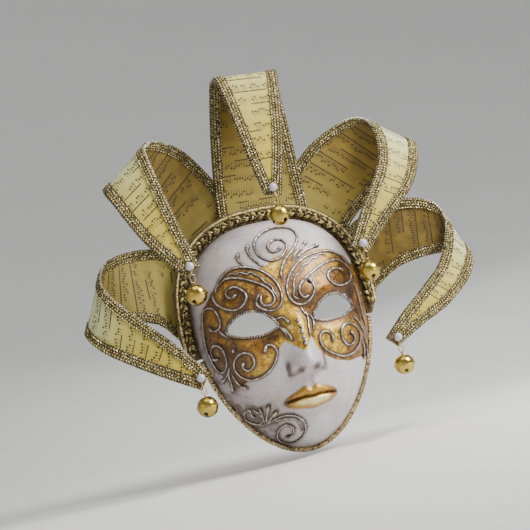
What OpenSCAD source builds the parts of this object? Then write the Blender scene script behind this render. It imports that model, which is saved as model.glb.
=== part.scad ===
// Full-face carnival mask with five curled points, each ending in a pearl and a jingle bell.
// Front faces -Y, up is +Z, and the origin is the centre of the rim plane at eye level.

/* [Face] */
// Width of the face just above the eyes
face_w = 170; // [145:1:204]
// Height of the face, crown to chin
face_h = 224; // [190:1:265]
// Distance that the brow and cheeks bulge forward of the rim
face_d = 62; // [52:1:74]
// Wall thickness of the papier-mache shell
shell_t = 3; // [2:0.5:4]
// Extra height of the nose tip over the cheeks
nose_h = 15; // [12:1:20]

/* [Eyes] */
// Width of one eye opening
eye_w = 43; // [36:1:48]
// Height of one eye opening
eye_h = 22; // [18:1:25]
// Distance between the centres of the two eye openings
eye_gap = 79; // [72:1:86]
// Height of the eye openings above the origin
eye_z = -1; // [-6:1:4]
// Rise of each opening's outer corner over its inner corner
eye_rise = 4; // [0:1:8]
// Diameter of the beaded cord round each opening
eye_rim_d = 2.6; // [2:0.1:3.4]

/* [Ribbon eyelets] */
// Bore of the two brass eyelets that hold the ribbons
eyelet_bore_d = 5; // [4:0.5:6]
// Wall thickness of the eyelet barrel
eyelet_wall = 0.7; // [0.5:0.1:1]
// Diameter of the eyelet flanges
eyelet_flange_d = 9.5; // [8.5:0.5:11]
// Thickness of the eyelet flanges
eyelet_flange_t = 0.8; // [0.6:0.1:1.2]
// Height of the eyelets relative to the origin
eyelet_z = -30; // [-36:1:-24]
// Distance of the eyelets forward of the rim plane
eyelet_y = 9; // [8:0.5:11]

/* [Crown and trims] */
// Thickness of the backing plate behind the crown
backing_t = 2.5; // [1.5:0.5:4]
// Distance that the backing reaches outside the face
backing_out = 15; // [14:0.5:18]
// Distance that the backing reaches inside the face
backing_in = 6; // [4:1:9]
// Width of the plaited crown braid
plait_w = 8; // [6:0.5:9]
// Height of the plaited crown braid
plait_h = 5; // [3:0.5:6]
// Diameter of the twisted cord outside the plait
crown_cord_d = 3; // [2:0.25:3.5]
// Diameter of the fine edging inside the plait
edging_d = 2; // [1.5:0.25:2.25]
// Diameter of the twisted braid along the jaw
jaw_braid_d = 4; // [3:0.5:5]
// Diameter of the raised scrollwork lines
scroll_d = 2.2; // [1.6:0.2:2.6]

/* [Points] */
// Size of the five curled points against the drawn one
point_size = 1; // [0.9:0.01:1.1]
// Thickness of the stiff card in a point
card_t = 1.2; // [0.8:0.1:1.6]
// Thickness of the paper glued on each side of the card
paper_t = 0.3; // [0.2:0.05:0.5]
// Width of the braid folded over a point's edge
braid_w = 8.5; // [6:0.5:9.5]
// Thickness of the braid on each side of the paper
braid_t = 1.1; // [0.8:0.1:1.4]
// Distance that the braid stands past the card's edge
braid_lip = 1.8; // [1:0.1:2.4]

/* [Pearls and bells] */
// Diameter of a pearl
pearl_d = 8; // [6:0.5:10]
// Distance of a pearl's centre from the end of its point
pearl_inset = 6; // [5:0.5:7]
// Diameter of the brass wire in the pins, links and shanks
wire_d = 0.9; // [0.7:0.05:1.1]
// Straight wire between a pearl and the eye below it
drop_l = 1.2; // [0.8:0.1:3]
// Radius of a pin's eye, on the wire's centreline
pin_eye_r = 1.7; // [1.5:0.1:2.2]
// Height of the oval link, between wire centrelines
link_h = 7.5; // [6:0.5:10]
// Half-width of the oval link, on the wire's centreline
link_r = 2.2; // [1.9:0.1:2.8]
// Diameter of the bell's ball
bell_d = 19.5; // [16:0.5:22]
// Wall thickness of the bell
bell_wall = 0.6; // [0.5:0.1:0.9]
// Width of the crimped flange round the bell
flange_w = 1.2; // [0.8:0.1:1.6]
// Thickness of each half of the flange
flange_t = 0.7; // [0.5:0.1:1]
// Width of the sound slots
slot_w = 1.6; // [1.2:0.1:2]
// Diameter of the round hole at each end of a slot
slot_hole_d = 4; // [3:0.25:4.5]
// Diameter of the steel pellet inside the bell
pellet_d = 5.2; // [4:0.2:6]

/* [Hidden] */
CARD = "#c9b68a";
GOLD = "#a9874a";
BRASS = "#c9a03c";
PEARL = "#e6e0ee";
SCROLL = "#a08e84";

// The face is drawn at this size, and the places of its features scale with the shell.
DRAWN_W = 170;
DRAWN_H = 224;
DRAWN_D = 62;
RIM_A = 80;
face_zc = -10;
half_h = face_h / 2;
half_w = face_w / 2;
kx = face_w / DRAWN_W;
kz = face_h / DRAWN_H;
kd = face_d / DRAWN_D;
trim_t = braid_t + paper_t + card_t / 2;
play = 0.05;
edge_gap = 0.15;

// Each row is a point's name, its place round the rim in degrees, its layer behind the crown,
// the turn of its bell, and its left and right edges seen from the front before the point curls.
// An edge runs from the glued root over the curl to the tip, as [right, forward, up] from the rim;
// the first two places lie flat in the point's own layer, so their forward value isn't used.
POINTS = [
    ["top", 85, 0, 20,
        [[-44, 0, -9], [-43, 0, 18], [-38, 8, 72], [-29, 20, 126], [-27, 32, 135], [-24, 43, 127],
            [-16, 54, 64], [-7, 53, 16]],
        [[44, 0, -17], [44, 0, 15], [40, 8, 70], [36, 20, 125], [33, 32, 134], [31, 43, 124],
            [19, 54, 64], [6, 53, 14]]],
    ["upper_left", 130, 1, 55,
        [[-13, 0, -20], [-30, 0, 6], [-55, 3, 41], [-74, 14, 68], [-78, 26, 74], [-75, 40, 61],
            [-55, 50, 17], [-25, 53, -24]],
        [[52, 0, 14], [41, 0, 48], [8, 0, 98], [-20, 14, 112], [-34, 27, 106], [-35, 40, 90],
            [-26, 50, 36], [-13, 53, -17]]],
    ["lower_left", 168, 2, -30,
        [[8, 0, -21], [-13, 0, -5], [-34, -4, 15], [-80, 5, 23], [-100, 15, 17], [-91, 27, -1],
            [-68, 36, -20], [-39, 43, -40], [-11, 46, -57]],
        [[17, 0, 59], [-2, 0, 77], [-33, -12, 85], [-64, 1, 80], [-77, 15, 65], [-75, 27, 46],
            [-52, 36, 16], [-24, 43, -17], [-3, 46, -46]]],
    ["upper_right", 48, 1, 0,
        [[-45, 0, 21], [-33, 0, 47], [1, 0, 84], [41, 10, 102], [60, 22, 96], [61, 36, 70],
            [49, 46, 41], [24, 51, 6], [5, 53, -25]],
        [[9, 0, -21], [26, 0, 5], [57, 0, 31], [88, 10, 56], [100, 22, 67], [95, 36, 49],
            [78, 46, 22], [45, 51, -6], [17, 53, -33]]],
    ["lower_right", 14, 2, 75,
        [[-11, 0, 49], [13, 0, 66], [55, -4, 78], [88, 6, 70], [98, 16, 47], [80, 27, 9],
            [53, 35, -14], [25, 41, -34], [1, 44, -55]],
        [[-7, 0, -19], [17, 0, -3], [47, -3, 15], [84, 6, 19], [114, 16, 12], [104, 27, -10],
            [74, 35, -33], [39, 41, -48], [9, 44, -63]]],
];
POINT_PARTS = ["card", "outer_paper", "lining_paper", "braid_left", "braid_right"];
BELL_PARTS = ["link", "bell_cap", "bell_base", "pellet"];
FACE_PARTS = ["face_shell", "crown_backing", "crown_braid", "crown_cord", "crown_edging", "jaw_braid",
    "eye_rims", "relief_forehead", "relief_left_eye", "relief_right_eye", "relief_nose_beads",
    "relief_chin", "ribbon_eyelets", "pearls", "bead_pins"];

// ---- small helpers ----
function bump(v) = exp(-v * v);
function ease(a, b, v) = let (t = min(1, max(0, (v - a) / (b - a)))) t * t * (3 - 2 * t);
function unit(v) = v / norm(v);

// ---- the face surface ----
function half_width(t) = 1 + 0.13 * t - 0.04 * t * t;
// The outline is an ellipse below the eyes and squares off towards the crown.
function fullness(c, s) = let (p = 2 + 0.5 * ease(0, 0.7, s)) pow(pow(abs(c), p) + pow(abs(s), p), -1 / p);
function rho(x, z) =
    let (
        t = (z - face_zc) / half_h,
        c = x / (half_w * half_width(min(1.1, max(-1.1, t)))),
        r = max(1e-6, norm([c, t]))
    ) r / fullness(c / r, t / r);
function dome(r) =
    let (s = min(1, r) * sin(RIM_A)) (sqrt(1 - s * s) - cos(RIM_A)) / (1 - cos(RIM_A));
// Brow, eye sockets, nose, lips and chin, as heights over the dome.
function features(x, z) =
    let (
        a = abs(x),
        u = a / kx,
        w = z / kz,
        k = min(1, max(0, (14 - w) / 56)),
        ridge = (2 + nose_h * pow(k, 1.1)) * ease(22, 2, w) * ease(-54, -43, w)
    )
        3 * bump((u - 30) / 26) * bump((w - 21) / 10)
        - 8 * bump((a - eye_gap / 2 + 2) / 19) * bump((z - eye_z - 1) / 12)
        - 3 * bump(u / 10) * bump((w - 9) / 8)
        + ridge * bump(u / (7.5 + 5 * k))
        + 2.4 * bump(u / 8.5) * bump((w + 40) / 8)
        + 5 * bump((u - 11.5) / 5.8) * bump((w + 44) / 6.5)
        + 6 * bump(u / 25) * bump((w + 72) / 19)
        + 3.4 * bump(u / 19) * (bump((w + 69) / 4) + 1.2 * bump((w + 80) / 5))
        + 7 * bump(u / 19) * bump((w + 105) / 12)
        + 4 * bump((u - 50) / 17) * bump((w + 26) / 18);
function depth(x, z) = let (r = rho(x, z)) face_d * dome(r) + kd * features(x, z) * ease(1, 0.82, r);
function skin_place(x, z, lift = 0) =
    let (
        e = 0.5,
        f = depth(x, z),
        n = unit([depth(x - e, z) - depth(x + e, z), -2 * e, depth(x, z - e) - depth(x, z + e)])
    ) [x, -f, z] + lift * n;
function skin_normal(x, z) = unit(skin_place(x, z, 1) - skin_place(x, z, 0));

// The rim outline at an angle from +X, and the same line set off outwards.
function rim_at(a) =
    let (q = fullness(cos(a), sin(a)), t = q * sin(a))
        [q * cos(a) * half_w * half_width(t), face_zc + half_h * t];
function rim_off(a, d) = let (v = unit(rim_at(a + 1) - rim_at(a - 1))) rim_at(a) + d * [v[1], -v[0]];

// ---- skins through rings of points ----
// rings: lists of equally many points; flips marks the faces whose diagonal runs the other way;
// cap: the triangles that close an end, or a fan where none are given.
SHEET_CAP = [[0, 1, 6], [0, 6, 7], [1, 2, 5], [1, 5, 6], [2, 3, 4], [2, 4, 5]];
BRAID_CAP = [[0, 1, 2], [0, 2, 3], [0, 3, 4], [0, 4, 7], [4, 5, 6], [4, 6, 7]];
module skin(rings, flips = [], closed = false, cap = []) {
    n = len(rings[0]);
    m = len(rings);
    last = closed ? m - 1 : m - 2;
    sides = [for (i = [0:last]) for (k = [0:n - 1])
        let (
            j = (i + 1) % m,
            l = (k + 1) % n,
            a = i * n + k,
            b = i * n + l,
            c = j * n + l,
            d = j * n + k,
            turned = len([for (f = flips) if (f == k) f]) > 0
        )
            each (turned ? [[a, b, d], [b, c, d]] : [[a, b, c], [a, c, d]])];
    lid = len(cap) > 0 ? cap : [for (k = [1:n - 2]) [0, k, k + 1]];
    far = (m - 1) * n;
    ends = closed ? [] : [for (f = lid) each [[f[2], f[1], f[0]], [far + f[0], far + f[1], far + f[2]]]];
    polyhedron([for (r = rings) each r], concat(sides, ends), convexity = 10);
}

// A round tube along a path, with one of the path's own normals at each place.
function tube_rings(path, normals, r, sides = 6, closed = false) =
    let (m = len(path))
        [for (i = [0:m - 1])
            let (
                next = closed ? path[(i + 1) % m] : path[min(m - 1, i + 1)],
                prev = closed ? path[(i + m - 1) % m] : path[max(0, i - 1)],
                t = unit(next - prev),
                n = unit(normals[i] - (normals[i] * t) * t),
                b = cross(t, n)
            )
                [for (k = [0:sides - 1])
                    let (a = 360 * (k + 0.5) / sides) path[i] + r * (cos(a) * b + sin(a) * n)]];

// ---- splines ----
function spline_term(a, b, c, d, t) =
    0.5 * ((2 * b) + (c - a) * t + (2 * a - 5 * b + 4 * c - d) * t * t + (3 * b - a - 3 * c + d) * t * t * t);
function spline_at(pts, i, t) =
    let (m = len(pts)) spline_term(pts[max(0, i - 1)], pts[i], pts[i + 1], pts[min(m - 1, i + 2)], t);
function spline(pts, per) =
    concat(
        [for (i = [0:len(pts) - 2]) for (k = [0:per - 1]) spline_at(pts, i, k / per)],
        [pts[len(pts) - 1]]
    );
// A slope that never overshoots, so that a flat stretch stays flat.
function calm_slope(a, b) = a * b <= 0 ? 0 : 2 * a * b / (a + b);
function calm_at(v, i, t) =
    let (
        m = len(v),
        d = v[i + 1] - v[i],
        d0 = i > 0 ? v[i] - v[i - 1] : d,
        d1 = i < m - 2 ? v[i + 2] - v[i + 1] : d,
        m0 = calm_slope(d0, d),
        m1 = calm_slope(d, d1)
    )
        v[i] + t * m0 + t * t * (3 * d - 2 * m0 - m1) + t * t * t * (m0 + m1 - 2 * d);

// ---- the curled points ----
SPAN_STEPS = 3;
function layer_y(p) = backing_t + trim_t * (1 + 2 * p[2]);
// An edge's places in the mask's frame: the flat root first, then the curl and the front.
function edge_places(p, edge) =
    let (o = rim_at(p[1]))
        [for (i = [0:len(edge) - 1])
            let (e = edge[i] * point_size)
                [o[0] + e[0], i < 2 ? layer_y(p) : -e[1], o[1] + e[2]]];
function edge_curve(p, edge) =
    let (pts = edge_places(p, edge), y = [for (q = pts) q[1]])
        concat(
            [for (i = [0:len(pts) - 2]) for (k = [0:(i == 0 ? 0 : SPAN_STEPS - 1)])
                let (t = k / SPAN_STEPS, q = spline_at(pts, i, t)) [q[0], calm_at(y, i, t), q[2]]],
            [pts[len(pts) - 1]]
        );
// Frames along a point: left edge, direction across, width and outward normal of the lining side.
function strip_frames(p) =
    let (a = edge_curve(p, p[4]), b = edge_curve(p, p[5]), m = len(a), c = (a + b) / 2)
        [for (i = [0:m - 1])
            let (t = unit(c[min(m - 1, i + 1)] - c[max(0, i - 1)]), u = unit(b[i] - a[i]))
                [a[i], u, norm(b[i] - a[i]), unit(cross(u, t))]];
function band(w) = min(braid_w, w / 2 - 0.4);

// A sheet between two heights over the card's mid-plane.
module strip_sheet(p, h0, h1) {
    rings = [for (f = strip_frames(p))
        let (w = f[2], across = [0, band(w), w - band(w), w])
            concat(
                [for (s = across) f[0] + s * f[1] + h0 * f[3]],
                [for (k = [3:-1:0]) f[0] + across[k] * f[1] + h1 * f[3]]
            )];
    skin(rings, flips = [4, 5, 6], cap = SHEET_CAP);
}

// Braid folded over one edge, clasping the card and both papers.
module strip_braid(p, right) {
    t = card_t / 2 + paper_t;
    h = t + braid_t;
    rings = [for (f = strip_frames(p))
        let (
            w = f[2],
            b = band(w),
            e = -edge_gap,
            section = [[-braid_lip, -h], [b, -h], [b, -t], [e, -t], [e, t], [b, t], [b, h], [-braid_lip, h]],
            order = right ? [7:-1:0] : [0:7]
        )
            [for (k = order)
                f[0] + (right ? w - section[k][0] : section[k][0]) * f[1] + section[k][1] * f[3]]];
    skin(rings, flips = right ? [4] : [2], cap = BRAID_CAP);
}

// The pearl's centre: it touches the braid at the tip of its point.
function pearl_at(p) =
    let (
        f = strip_frames(p),
        m = len(f) - 1,
        e = f[m][0] + f[m][1] * f[m][2] / 2,
        d = f[m - 1][0] + f[m - 1][1] * f[m - 1][2] / 2,
        n = unit(cross(f[m][1], e - d)),
        c = e + unit(d - e) * pearl_inset
    )
        c - [0, (pearl_d / 2 + trim_t + play) / abs(n[1]), 0];
stem_past = 3;
stem_l = pearl_d / 2 + 2 * trim_t + stem_past;
pin_head_r = 1.4;
pin_head_t = 0.5;
module stem(p, r) translate(pearl_at(p)) rotate([-90, 0, 0]) cylinder(h = stem_l, r = r, $fn = 24);
module drilled(p) {
    difference() {
        children();
        stem(p, wire_d / 2);
    }
}

module point_card(p) color(CARD) drilled(p) strip_sheet(p, -card_t / 2, card_t / 2);
module point_lining(p) color("#d9c377") drilled(p) strip_sheet(p, card_t / 2, card_t / 2 + paper_t);
module point_outer(p) color("#eee2a4") drilled(p) strip_sheet(p, -card_t / 2 - paper_t, -card_t / 2);
module point_braid(p, right) color(GOLD) drilled(p) strip_braid(p, right);
module point_part(p, part) {
    if (part == "card") point_card(p);
    if (part == "outer_paper") point_outer(p);
    if (part == "lining_paper") point_lining(p);
    if (part == "braid_left") point_braid(p, false);
    if (part == "braid_right") point_braid(p, true);
}

// ---- pearls, pins, links and bells ----
eye_drop = pearl_d / 2 + drop_l + pin_eye_r;
pivot_drop = eye_drop + pin_eye_r;
link_top = pivot_drop - wire_d - play;
link_bottom = link_top + link_h;
shank_r = pin_eye_r;
shank_top = link_bottom - wire_d - play;
bell_r = bell_d / 2;
shank_sink = 0.6;
bell_drop = shank_top + 2 * shank_r - shank_sink + bell_r;
module ring(r) rotate_extrude($fn = 32) translate([r, 0]) circle(r = wire_d / 2, $fn = 16);
module half_ring(r) rotate_extrude(angle = 180, $fn = 32) translate([r, 0]) circle(r = wire_d / 2, $fn = 16);

module pearls() {
    color(PEARL) for (p = POINTS) {
        difference() {
            translate(pearl_at(p)) sphere(r = pearl_d / 2, $fn = 32);
            stem(p, wire_d / 2);
            translate(pearl_at(p)) mirror([0, 0, 1]) cylinder(h = pearl_d, r = wire_d / 2, $fn = 24);
        }
    }
}

// A stem through the pearl and the point, a drop to the eye below, and a flat head behind.
module bead_pins() {
    color(BRASS) for (p = POINTS) {
        stem(p, wire_d / 2);
        translate(pearl_at(p)) mirror([0, 0, 1])
            cylinder(h = eye_drop - pin_eye_r, r = wire_d / 2, $fn = 24);
        translate(pearl_at(p) - [0, 0, eye_drop]) rotate([0, 90, 0]) ring(pin_eye_r);
        translate(pearl_at(p) + [0, stem_l, 0]) rotate([-90, 0, 0])
            cylinder(h = pin_head_t, r = pin_head_r, $fn = 24);
    }
}

module link(p) {
    color(BRASS) translate(pearl_at(p) - [0, 0, link_top]) {
        translate([0, 0, -link_r]) rotate([90, 0, 0]) half_ring(link_r);
        translate([0, 0, link_r - link_h]) rotate([-90, 0, 0]) half_ring(link_r);
        for (s = [-1, 1]) translate([s * link_r, 0, link_r - link_h])
            cylinder(h = link_h - 2 * link_r, r = wire_d / 2, $fn = 16);
    }
}

module at_bell(p) translate(pearl_at(p) - [0, 0, bell_drop]) rotate([0, 0, p[3]]) children();
module half_ball() {
    difference() {
        sphere(r = bell_r, $fn = 48);
        sphere(r = bell_r - bell_wall, $fn = 48);
        translate([0, 0, -bell_d / 2]) cube([2 * bell_d, 2 * bell_d, bell_d], center = true);
    }
    difference() {
        cylinder(h = flange_t, r = bell_r + flange_w, $fn = 48);
        translate([0, 0, -1]) cylinder(h = flange_t + 2, r = bell_r - bell_wall / 2, $fn = 48);
    }
}
module bell_cap(p) {
    color(BRASS) {
        at_bell(p) half_ball();
        difference() {
            translate(pearl_at(p) - [0, 0, shank_top + shank_r]) rotate([0, 90, 0]) ring(shank_r);
            at_bell(p) sphere(r = bell_r - bell_wall / 2, $fn = 48);
        }
    }
}
// A slot's end holes stand this far round the ball from its lowest place.
SLOT_A = 52;
module bell_base(p) {
    color(BRASS) at_bell(p) mirror([0, 0, 1]) difference() {
        half_ball();
        for (a = [0, 90]) rotate([0, 0, a]) {
            translate([-bell_r * sin(SLOT_A), -slot_w / 2, bell_r * cos(SLOT_A) - 1])
                cube([2 * bell_r * sin(SLOT_A), slot_w, bell_r]);
            for (s = [-1, 1]) rotate([0, s * SLOT_A, 0])
                cylinder(h = bell_d, r = slot_hole_d / 2, $fn = 24);
        }
    }
}
module pellet(p) {
    color("silver") at_bell(p) translate([0, 0, -(bell_r - bell_wall - pellet_d / 2 - 4 * play)])
        sphere(r = pellet_d / 2, $fn = 24);
}
module bell_part(p, part) {
    if (part == "link") link(p);
    if (part == "bell_cap") bell_cap(p);
    if (part == "bell_base") bell_base(p);
    if (part == "pellet") pellet(p);
}

// ---- face shell ----
// A square grid is laid over the dome: its edge becomes the rim, and its middle stays even.
FACE_COLS = 32;
FACE_ROWS = 40;
function grid_place(i, j) =
    let (
        u = 2 * i / FACE_COLS - 1,
        v = 2 * j / FACE_ROWS - 1,
        x = u * sqrt(1 - v * v / 2),
        y = v * sqrt(1 - u * u / 2),
        s = min(1, norm([x, y])),
        q = s > 0 ? sin(RIM_A * s) / sin(RIM_A) * fullness(x / s, y / s) / s : 1
    )
        [x * q, y * q, s];
function outer_place(i, j) =
    let (g = grid_place(i, j), x = g[0] * half_w * half_width(g[1]), z = face_zc + half_h * g[1])
        [x, g[2] > 0.9999 ? 0 : -depth(x, z), z];
// The inside runs a wall's thickness within the outside, and softens what stands out.
function inner_place(i, j) =
    let (
        g = grid_place(i, j),
        x = g[0] * (half_w - shell_t) * half_width(g[1]),
        z = face_zc + (half_h - shell_t) * g[1],
        r = sin(RIM_A * g[2]) / sin(RIM_A),
        lift = features(x * 1.1, z),
        softened = kd * lift * (lift > 0 ? 0.82 : 1) * ease(1, 0.82, r)
    )
        [x, g[2] > 0.9999 ? 0 : -(face_d - shell_t) * dome(r) - softened, z];
function edge_ring() = concat(
    [for (i = [0:FACE_COLS - 1]) i],
    [for (j = [0:FACE_ROWS - 1]) j * (FACE_COLS + 1) + FACE_COLS],
    [for (i = [FACE_COLS:-1:1]) FACE_ROWS * (FACE_COLS + 1) + i],
    [for (j = [FACE_ROWS:-1:1]) j * (FACE_COLS + 1)]
);
module shell_blank() {
    n = (FACE_COLS + 1) * (FACE_ROWS + 1);
    cells = [for (j = [0:FACE_ROWS - 1]) for (i = [0:FACE_COLS - 1])
        let (a = j * (FACE_COLS + 1) + i, flip = (i < FACE_COLS / 2) != (j < FACE_ROWS / 2))
            [a, a + 1, a + FACE_COLS + 2, a + FACE_COLS + 1, flip]];
    front = [for (c = cells)
        each (c[4] ? [[c[0], c[3], c[1]], [c[1], c[3], c[2]]] : [[c[0], c[3], c[2]], [c[0], c[2], c[1]]])];
    back = [for (f = front) [f[2] + n, f[1] + n, f[0] + n]];
    e = edge_ring();
    wall = [for (k = [0:len(e) - 1])
        let (a = e[k], b = e[(k + 1) % len(e)])
            each [[a, b, a + n], [b, b + n, a + n]]];
    points = concat(
        [for (j = [0:FACE_ROWS]) for (i = [0:FACE_COLS]) outer_place(i, j)],
        [for (j = [0:FACE_ROWS]) for (i = [0:FACE_COLS]) inner_place(i, j)]
    );
    polyhedron(points, concat(front, back, wall), convexity = 10);
}

// The almond outline of one eye opening, grown by a margin, as [across, up].
EYE_STEPS = 28;
UPPER_SHARE = 0.7;
LID_POINT = 1.4;
function eye_outline(side, grow) =
    [for (k = [0:EYE_STEPS - 1])
        let (
            a = 360 * k / EYE_STEPS,
            x = (eye_w / 2 + grow) * cos(a),
            open = sin(a) > 0 ? UPPER_SHARE : 1 - UPPER_SHARE,
            z = (open * eye_h + grow) * sign(sin(a)) * pow(abs(sin(a)), LID_POINT) + eye_rise * x / eye_w
        )
            [side * (eye_gap / 2 + x), eye_z + z]];
module eye_cut(side) {
    rotate([90, 0, 0]) linear_extrude(2 * face_d) polygon(eye_outline(side, 0));
}

// The eyelets stand square to the shell's side wall, a little forward of the rim.
eyelet_c = cos(RIM_A) + eyelet_y * (1 - cos(RIM_A)) / face_d;
eyelet_t = (eyelet_z - face_zc) / half_h;
eyelet_r = sqrt(1 - eyelet_c * eyelet_c) / sin(RIM_A);
eyelet_x = half_w * half_width(eyelet_t) * sqrt(eyelet_r * eyelet_r - eyelet_t * eyelet_t);
eyelet_tilt = atan(eyelet_c * face_d / (1 - cos(RIM_A)) / eyelet_x);
eyelet_barrel_r = eyelet_bore_d / 2 + eyelet_wall;
// +Z of the child runs outwards through the wall, with its origin on the wall's outside.
module at_eyelet(side) {
    translate([side * eyelet_x, -eyelet_y, eyelet_z])
        rotate([0, 0, -side * eyelet_tilt]) rotate([0, side * 90, 0]) children();
}

module face_shell() {
    color("#e4e0e2") difference() {
        shell_blank();
        for (side = [-1, 1]) {
            eye_cut(side);
            at_eyelet(side) cylinder(h = 6 * shell_t, r = eyelet_barrel_r, center = true, $fn = 32);
        }
    }
}
module ribbon_eyelets() {
    grip = shell_t + 2 * eyelet_flange_t;
    color(BRASS) for (side = [-1, 1]) at_eyelet(side) difference() {
        union() {
            translate([0, 0, eyelet_flange_t - grip]) cylinder(h = grip, r = eyelet_barrel_r, $fn = 32);
            cylinder(h = eyelet_flange_t, r = eyelet_flange_d / 2, $fn = 32);
            translate([0, 0, eyelet_flange_t - grip])
                cylinder(h = eyelet_flange_t, r = eyelet_flange_d / 2, $fn = 32);
        }
        cylinder(h = 4 * grip, r = eyelet_bore_d / 2, center = true, $fn = 32);
    }
}

// ---- crown and jaw trims ----
// Every trim is cut back by its own angle, so that the crown ends in steps.
CROWN_FROM = 1;
CROWN_TO = 183;
CROWN_STEPS = 52;
function crown_angles(cut = 0) =
    let (from = CROWN_FROM + cut, to = CROWN_TO - cut)
        [for (k = [0:CROWN_STEPS]) from + (to - from) * k / CROWN_STEPS];
function at_front(p, y) = [p[0], y, p[1]];
// The board narrows towards the rim over this angle at each end.
BOARD_TAPER = 9;
BOARD_END = 0.45;
function board_share(a) =
    BOARD_END + (1 - BOARD_END) * ease(0, BOARD_TAPER, min(a - CROWN_FROM, CROWN_TO - a));
module crown_backing() {
    a = crown_angles();
    m = len(a) - 1;
    outer = [for (v = a) rim_off(v, backing_out * board_share(v))];
    inner = [for (k = [m:-1:0]) rim_off(a[k], -backing_in)];
    color("#3d2c1c") translate([0, backing_t, 0]) rotate([90, 0, 0]) linear_extrude(backing_t)
        polygon(concat(outer, inner));
}
edging_off = edging_d / 2 + 0.1;
plait_off = edging_d + 0.3 + plait_w / 2;
cord_off = plait_off + plait_w / 2 + 0.2 + crown_cord_d / 2;
plait_cut = 2.5;
cord_cut = 5.5;
function crown_path(off, y, cut = 0) = [for (a = crown_angles(cut)) at_front(rim_off(a, off), y)];
function forward(path) = [for (p = path) [0, -1, 0]];
module crown_braid() {
    path = crown_path(plait_off, 0, plait_cut);
    inner = crown_path(plait_off - plait_w / 2, 0, plait_cut);
    rings = [for (i = [0:len(path) - 1])
        let (v = unit(inner[i] - path[i]), w = plait_w / 2)
            [for (q = [[-1, 0], [-0.8, 0.62], [-0.3, 1], [0.3, 1], [0.8, 0.62], [1, 0]])
                path[i] + q[0] * w * v - [0, q[1] * plait_h, 0]]];
    color(GOLD) skin(rings);
}
module crown_cord() {
    path = crown_path(cord_off, -crown_cord_d / 2, cord_cut);
    color("#c8aa55") skin(tube_rings(path, forward(path), crown_cord_d / 2));
}
module crown_edging() {
    path = crown_path(edging_off, -edging_d / 2);
    color("#6b5130") skin(tube_rings(path, forward(path), edging_d / 2));
}
module jaw_braid() {
    steps = 44;
    gap_a = 1.5;
    tuck = 0.8;
    from = CROWN_TO + gap_a;
    to = 360 + CROWN_FROM - gap_a;
    path = [for (k = [0:steps])
        let (a = from + (to - from) * k / steps)
            at_front(rim_off(a, jaw_braid_d / 2 - tuck), -jaw_braid_d / 2)];
    color(GOLD) skin(tube_rings(path, forward(path), jaw_braid_d / 2));
}

// ---- raised work on the face ----
SCROLL_SINK = 0.3;
function scale_to_face(q) = [q[0] * kx, q[1] * kz];
module on_face(line, d = scroll_d, closed = false) {
    path = [for (q = line) skin_place(q[0], q[1], d / 2 - SCROLL_SINK)];
    normals = [for (q = line) skin_normal(q[0], q[1])];
    skin(tube_rings(path, normals, d / 2, sides = 6, closed = closed), closed = closed);
}
module stroke(pts, per = 4) on_face([for (q = spline(pts, per)) scale_to_face(q)]);
// A spiral about a centre, from its eye out.
module scroll(c, r0, r1, a0, a1) {
    steps = max(6, round(abs(a1 - a0) / 30));
    turns = [for (k = [0:steps])
        let (t = k / steps, r = r0 + (r1 - r0) * t, a = a0 + (a1 - a0) * t) c + r * [cos(a), sin(a)]];
    on_face([for (q = turns) scale_to_face(q)]);
}
module bead(x, z, r) translate(skin_place(x * kx, z * kz, r * 0.5)) sphere(r = r, $fn = 16);

module eye_rims() {
    color(SCROLL) for (side = [-1, 1]) {
        outline = eye_outline(side, eye_rim_d / 2 + 0.3);
        ordered = side > 0 ? outline : [for (k = [len(outline) - 1:-1:0]) outline[k]];
        on_face(ordered, eye_rim_d, true);
    }
}
module relief_forehead() {
    color(SCROLL) {
        scroll([1, 70], 3, 19, 150, 720);
        stroke([[15, 52], [4, 47], [-3, 37]]);
        stroke([[-24, 77], [-26, 68], [-20, 57]]);
        stroke([[-34, 72], [-36, 64], [-30, 57]]);
        stroke([[31, 69], [22, 60], [15, 47], [11, 36]]);
        stroke([[42, 64], [31, 57], [22, 47], [17, 38]]);
    }
}
module relief_left_eye() {
    color(SCROLL) {
        stroke([[-70, 31], [-61, 47], [-40, 54], [-20, 43], [-10, 24], [-13, 14], [-24, 15]]);
        scroll([-50, 34], 4, 12, 20, 380);
        scroll([-68, 10], 3, 8, 200, -110);
        scroll([-70, -24], 3, 9, 90, 400);
        scroll([-50, -34], 3, 11, 160, 480);
        stroke([[-60, -47], [-64, -53], [-61, -58]], 3);
        stroke([[-44, -47], [-50, -53], [-56, -54]], 3);
    }
}
module relief_right_eye() {
    color(SCROLL) {
        stroke([[71, 36], [58, 48], [42, 51], [28, 42], [24, 30], [31, 22], [36, 27]]);
        scroll([55, 30], 3, 10, 0, 340);
        scroll([27, -27], 3, 7, 150, 400);
        scroll([50, -31], 3, 12, 20, 340);
        stroke([[72, 14], [76, 2], [74, -12]], 3);
        stroke([[68, -32], [70, -42], [64, -52]], 3);
    }
}
module relief_nose_beads() {
    color(SCROLL) {
        bead(0, -3, 2.2);
        bead(0, -13, 2.6);
        bead(0, -24, 3);
        for (s = [-1, 1]) stroke([[s * 7, 2], [s * 9, -8], [s * 7, -19]], 3);
    }
}
module relief_chin() {
    color(SCROLL) {
        scroll([-22, -101], 3, 11, 40, 400);
        scroll([-49, -82], 2.5, 7, 200, -100);
        stroke([[-42, -72], [-38, -80], [-36, -88]], 3);
        stroke([[-31, -71], [-30, -80], [-32, -87]], 3);
    }
}

face_shell();
crown_backing();
crown_braid();
crown_cord();
crown_edging();
jaw_braid();
eye_rims();
relief_forehead();
relief_left_eye();
relief_right_eye();
relief_nose_beads();
relief_chin();
ribbon_eyelets();
pearls();
bead_pins();
for (p = POINTS) for (part = POINT_PARTS)
    point_part(p, part);
for (p = POINTS) for (part = BELL_PARTS)
    bell_part(p, part);
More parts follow.
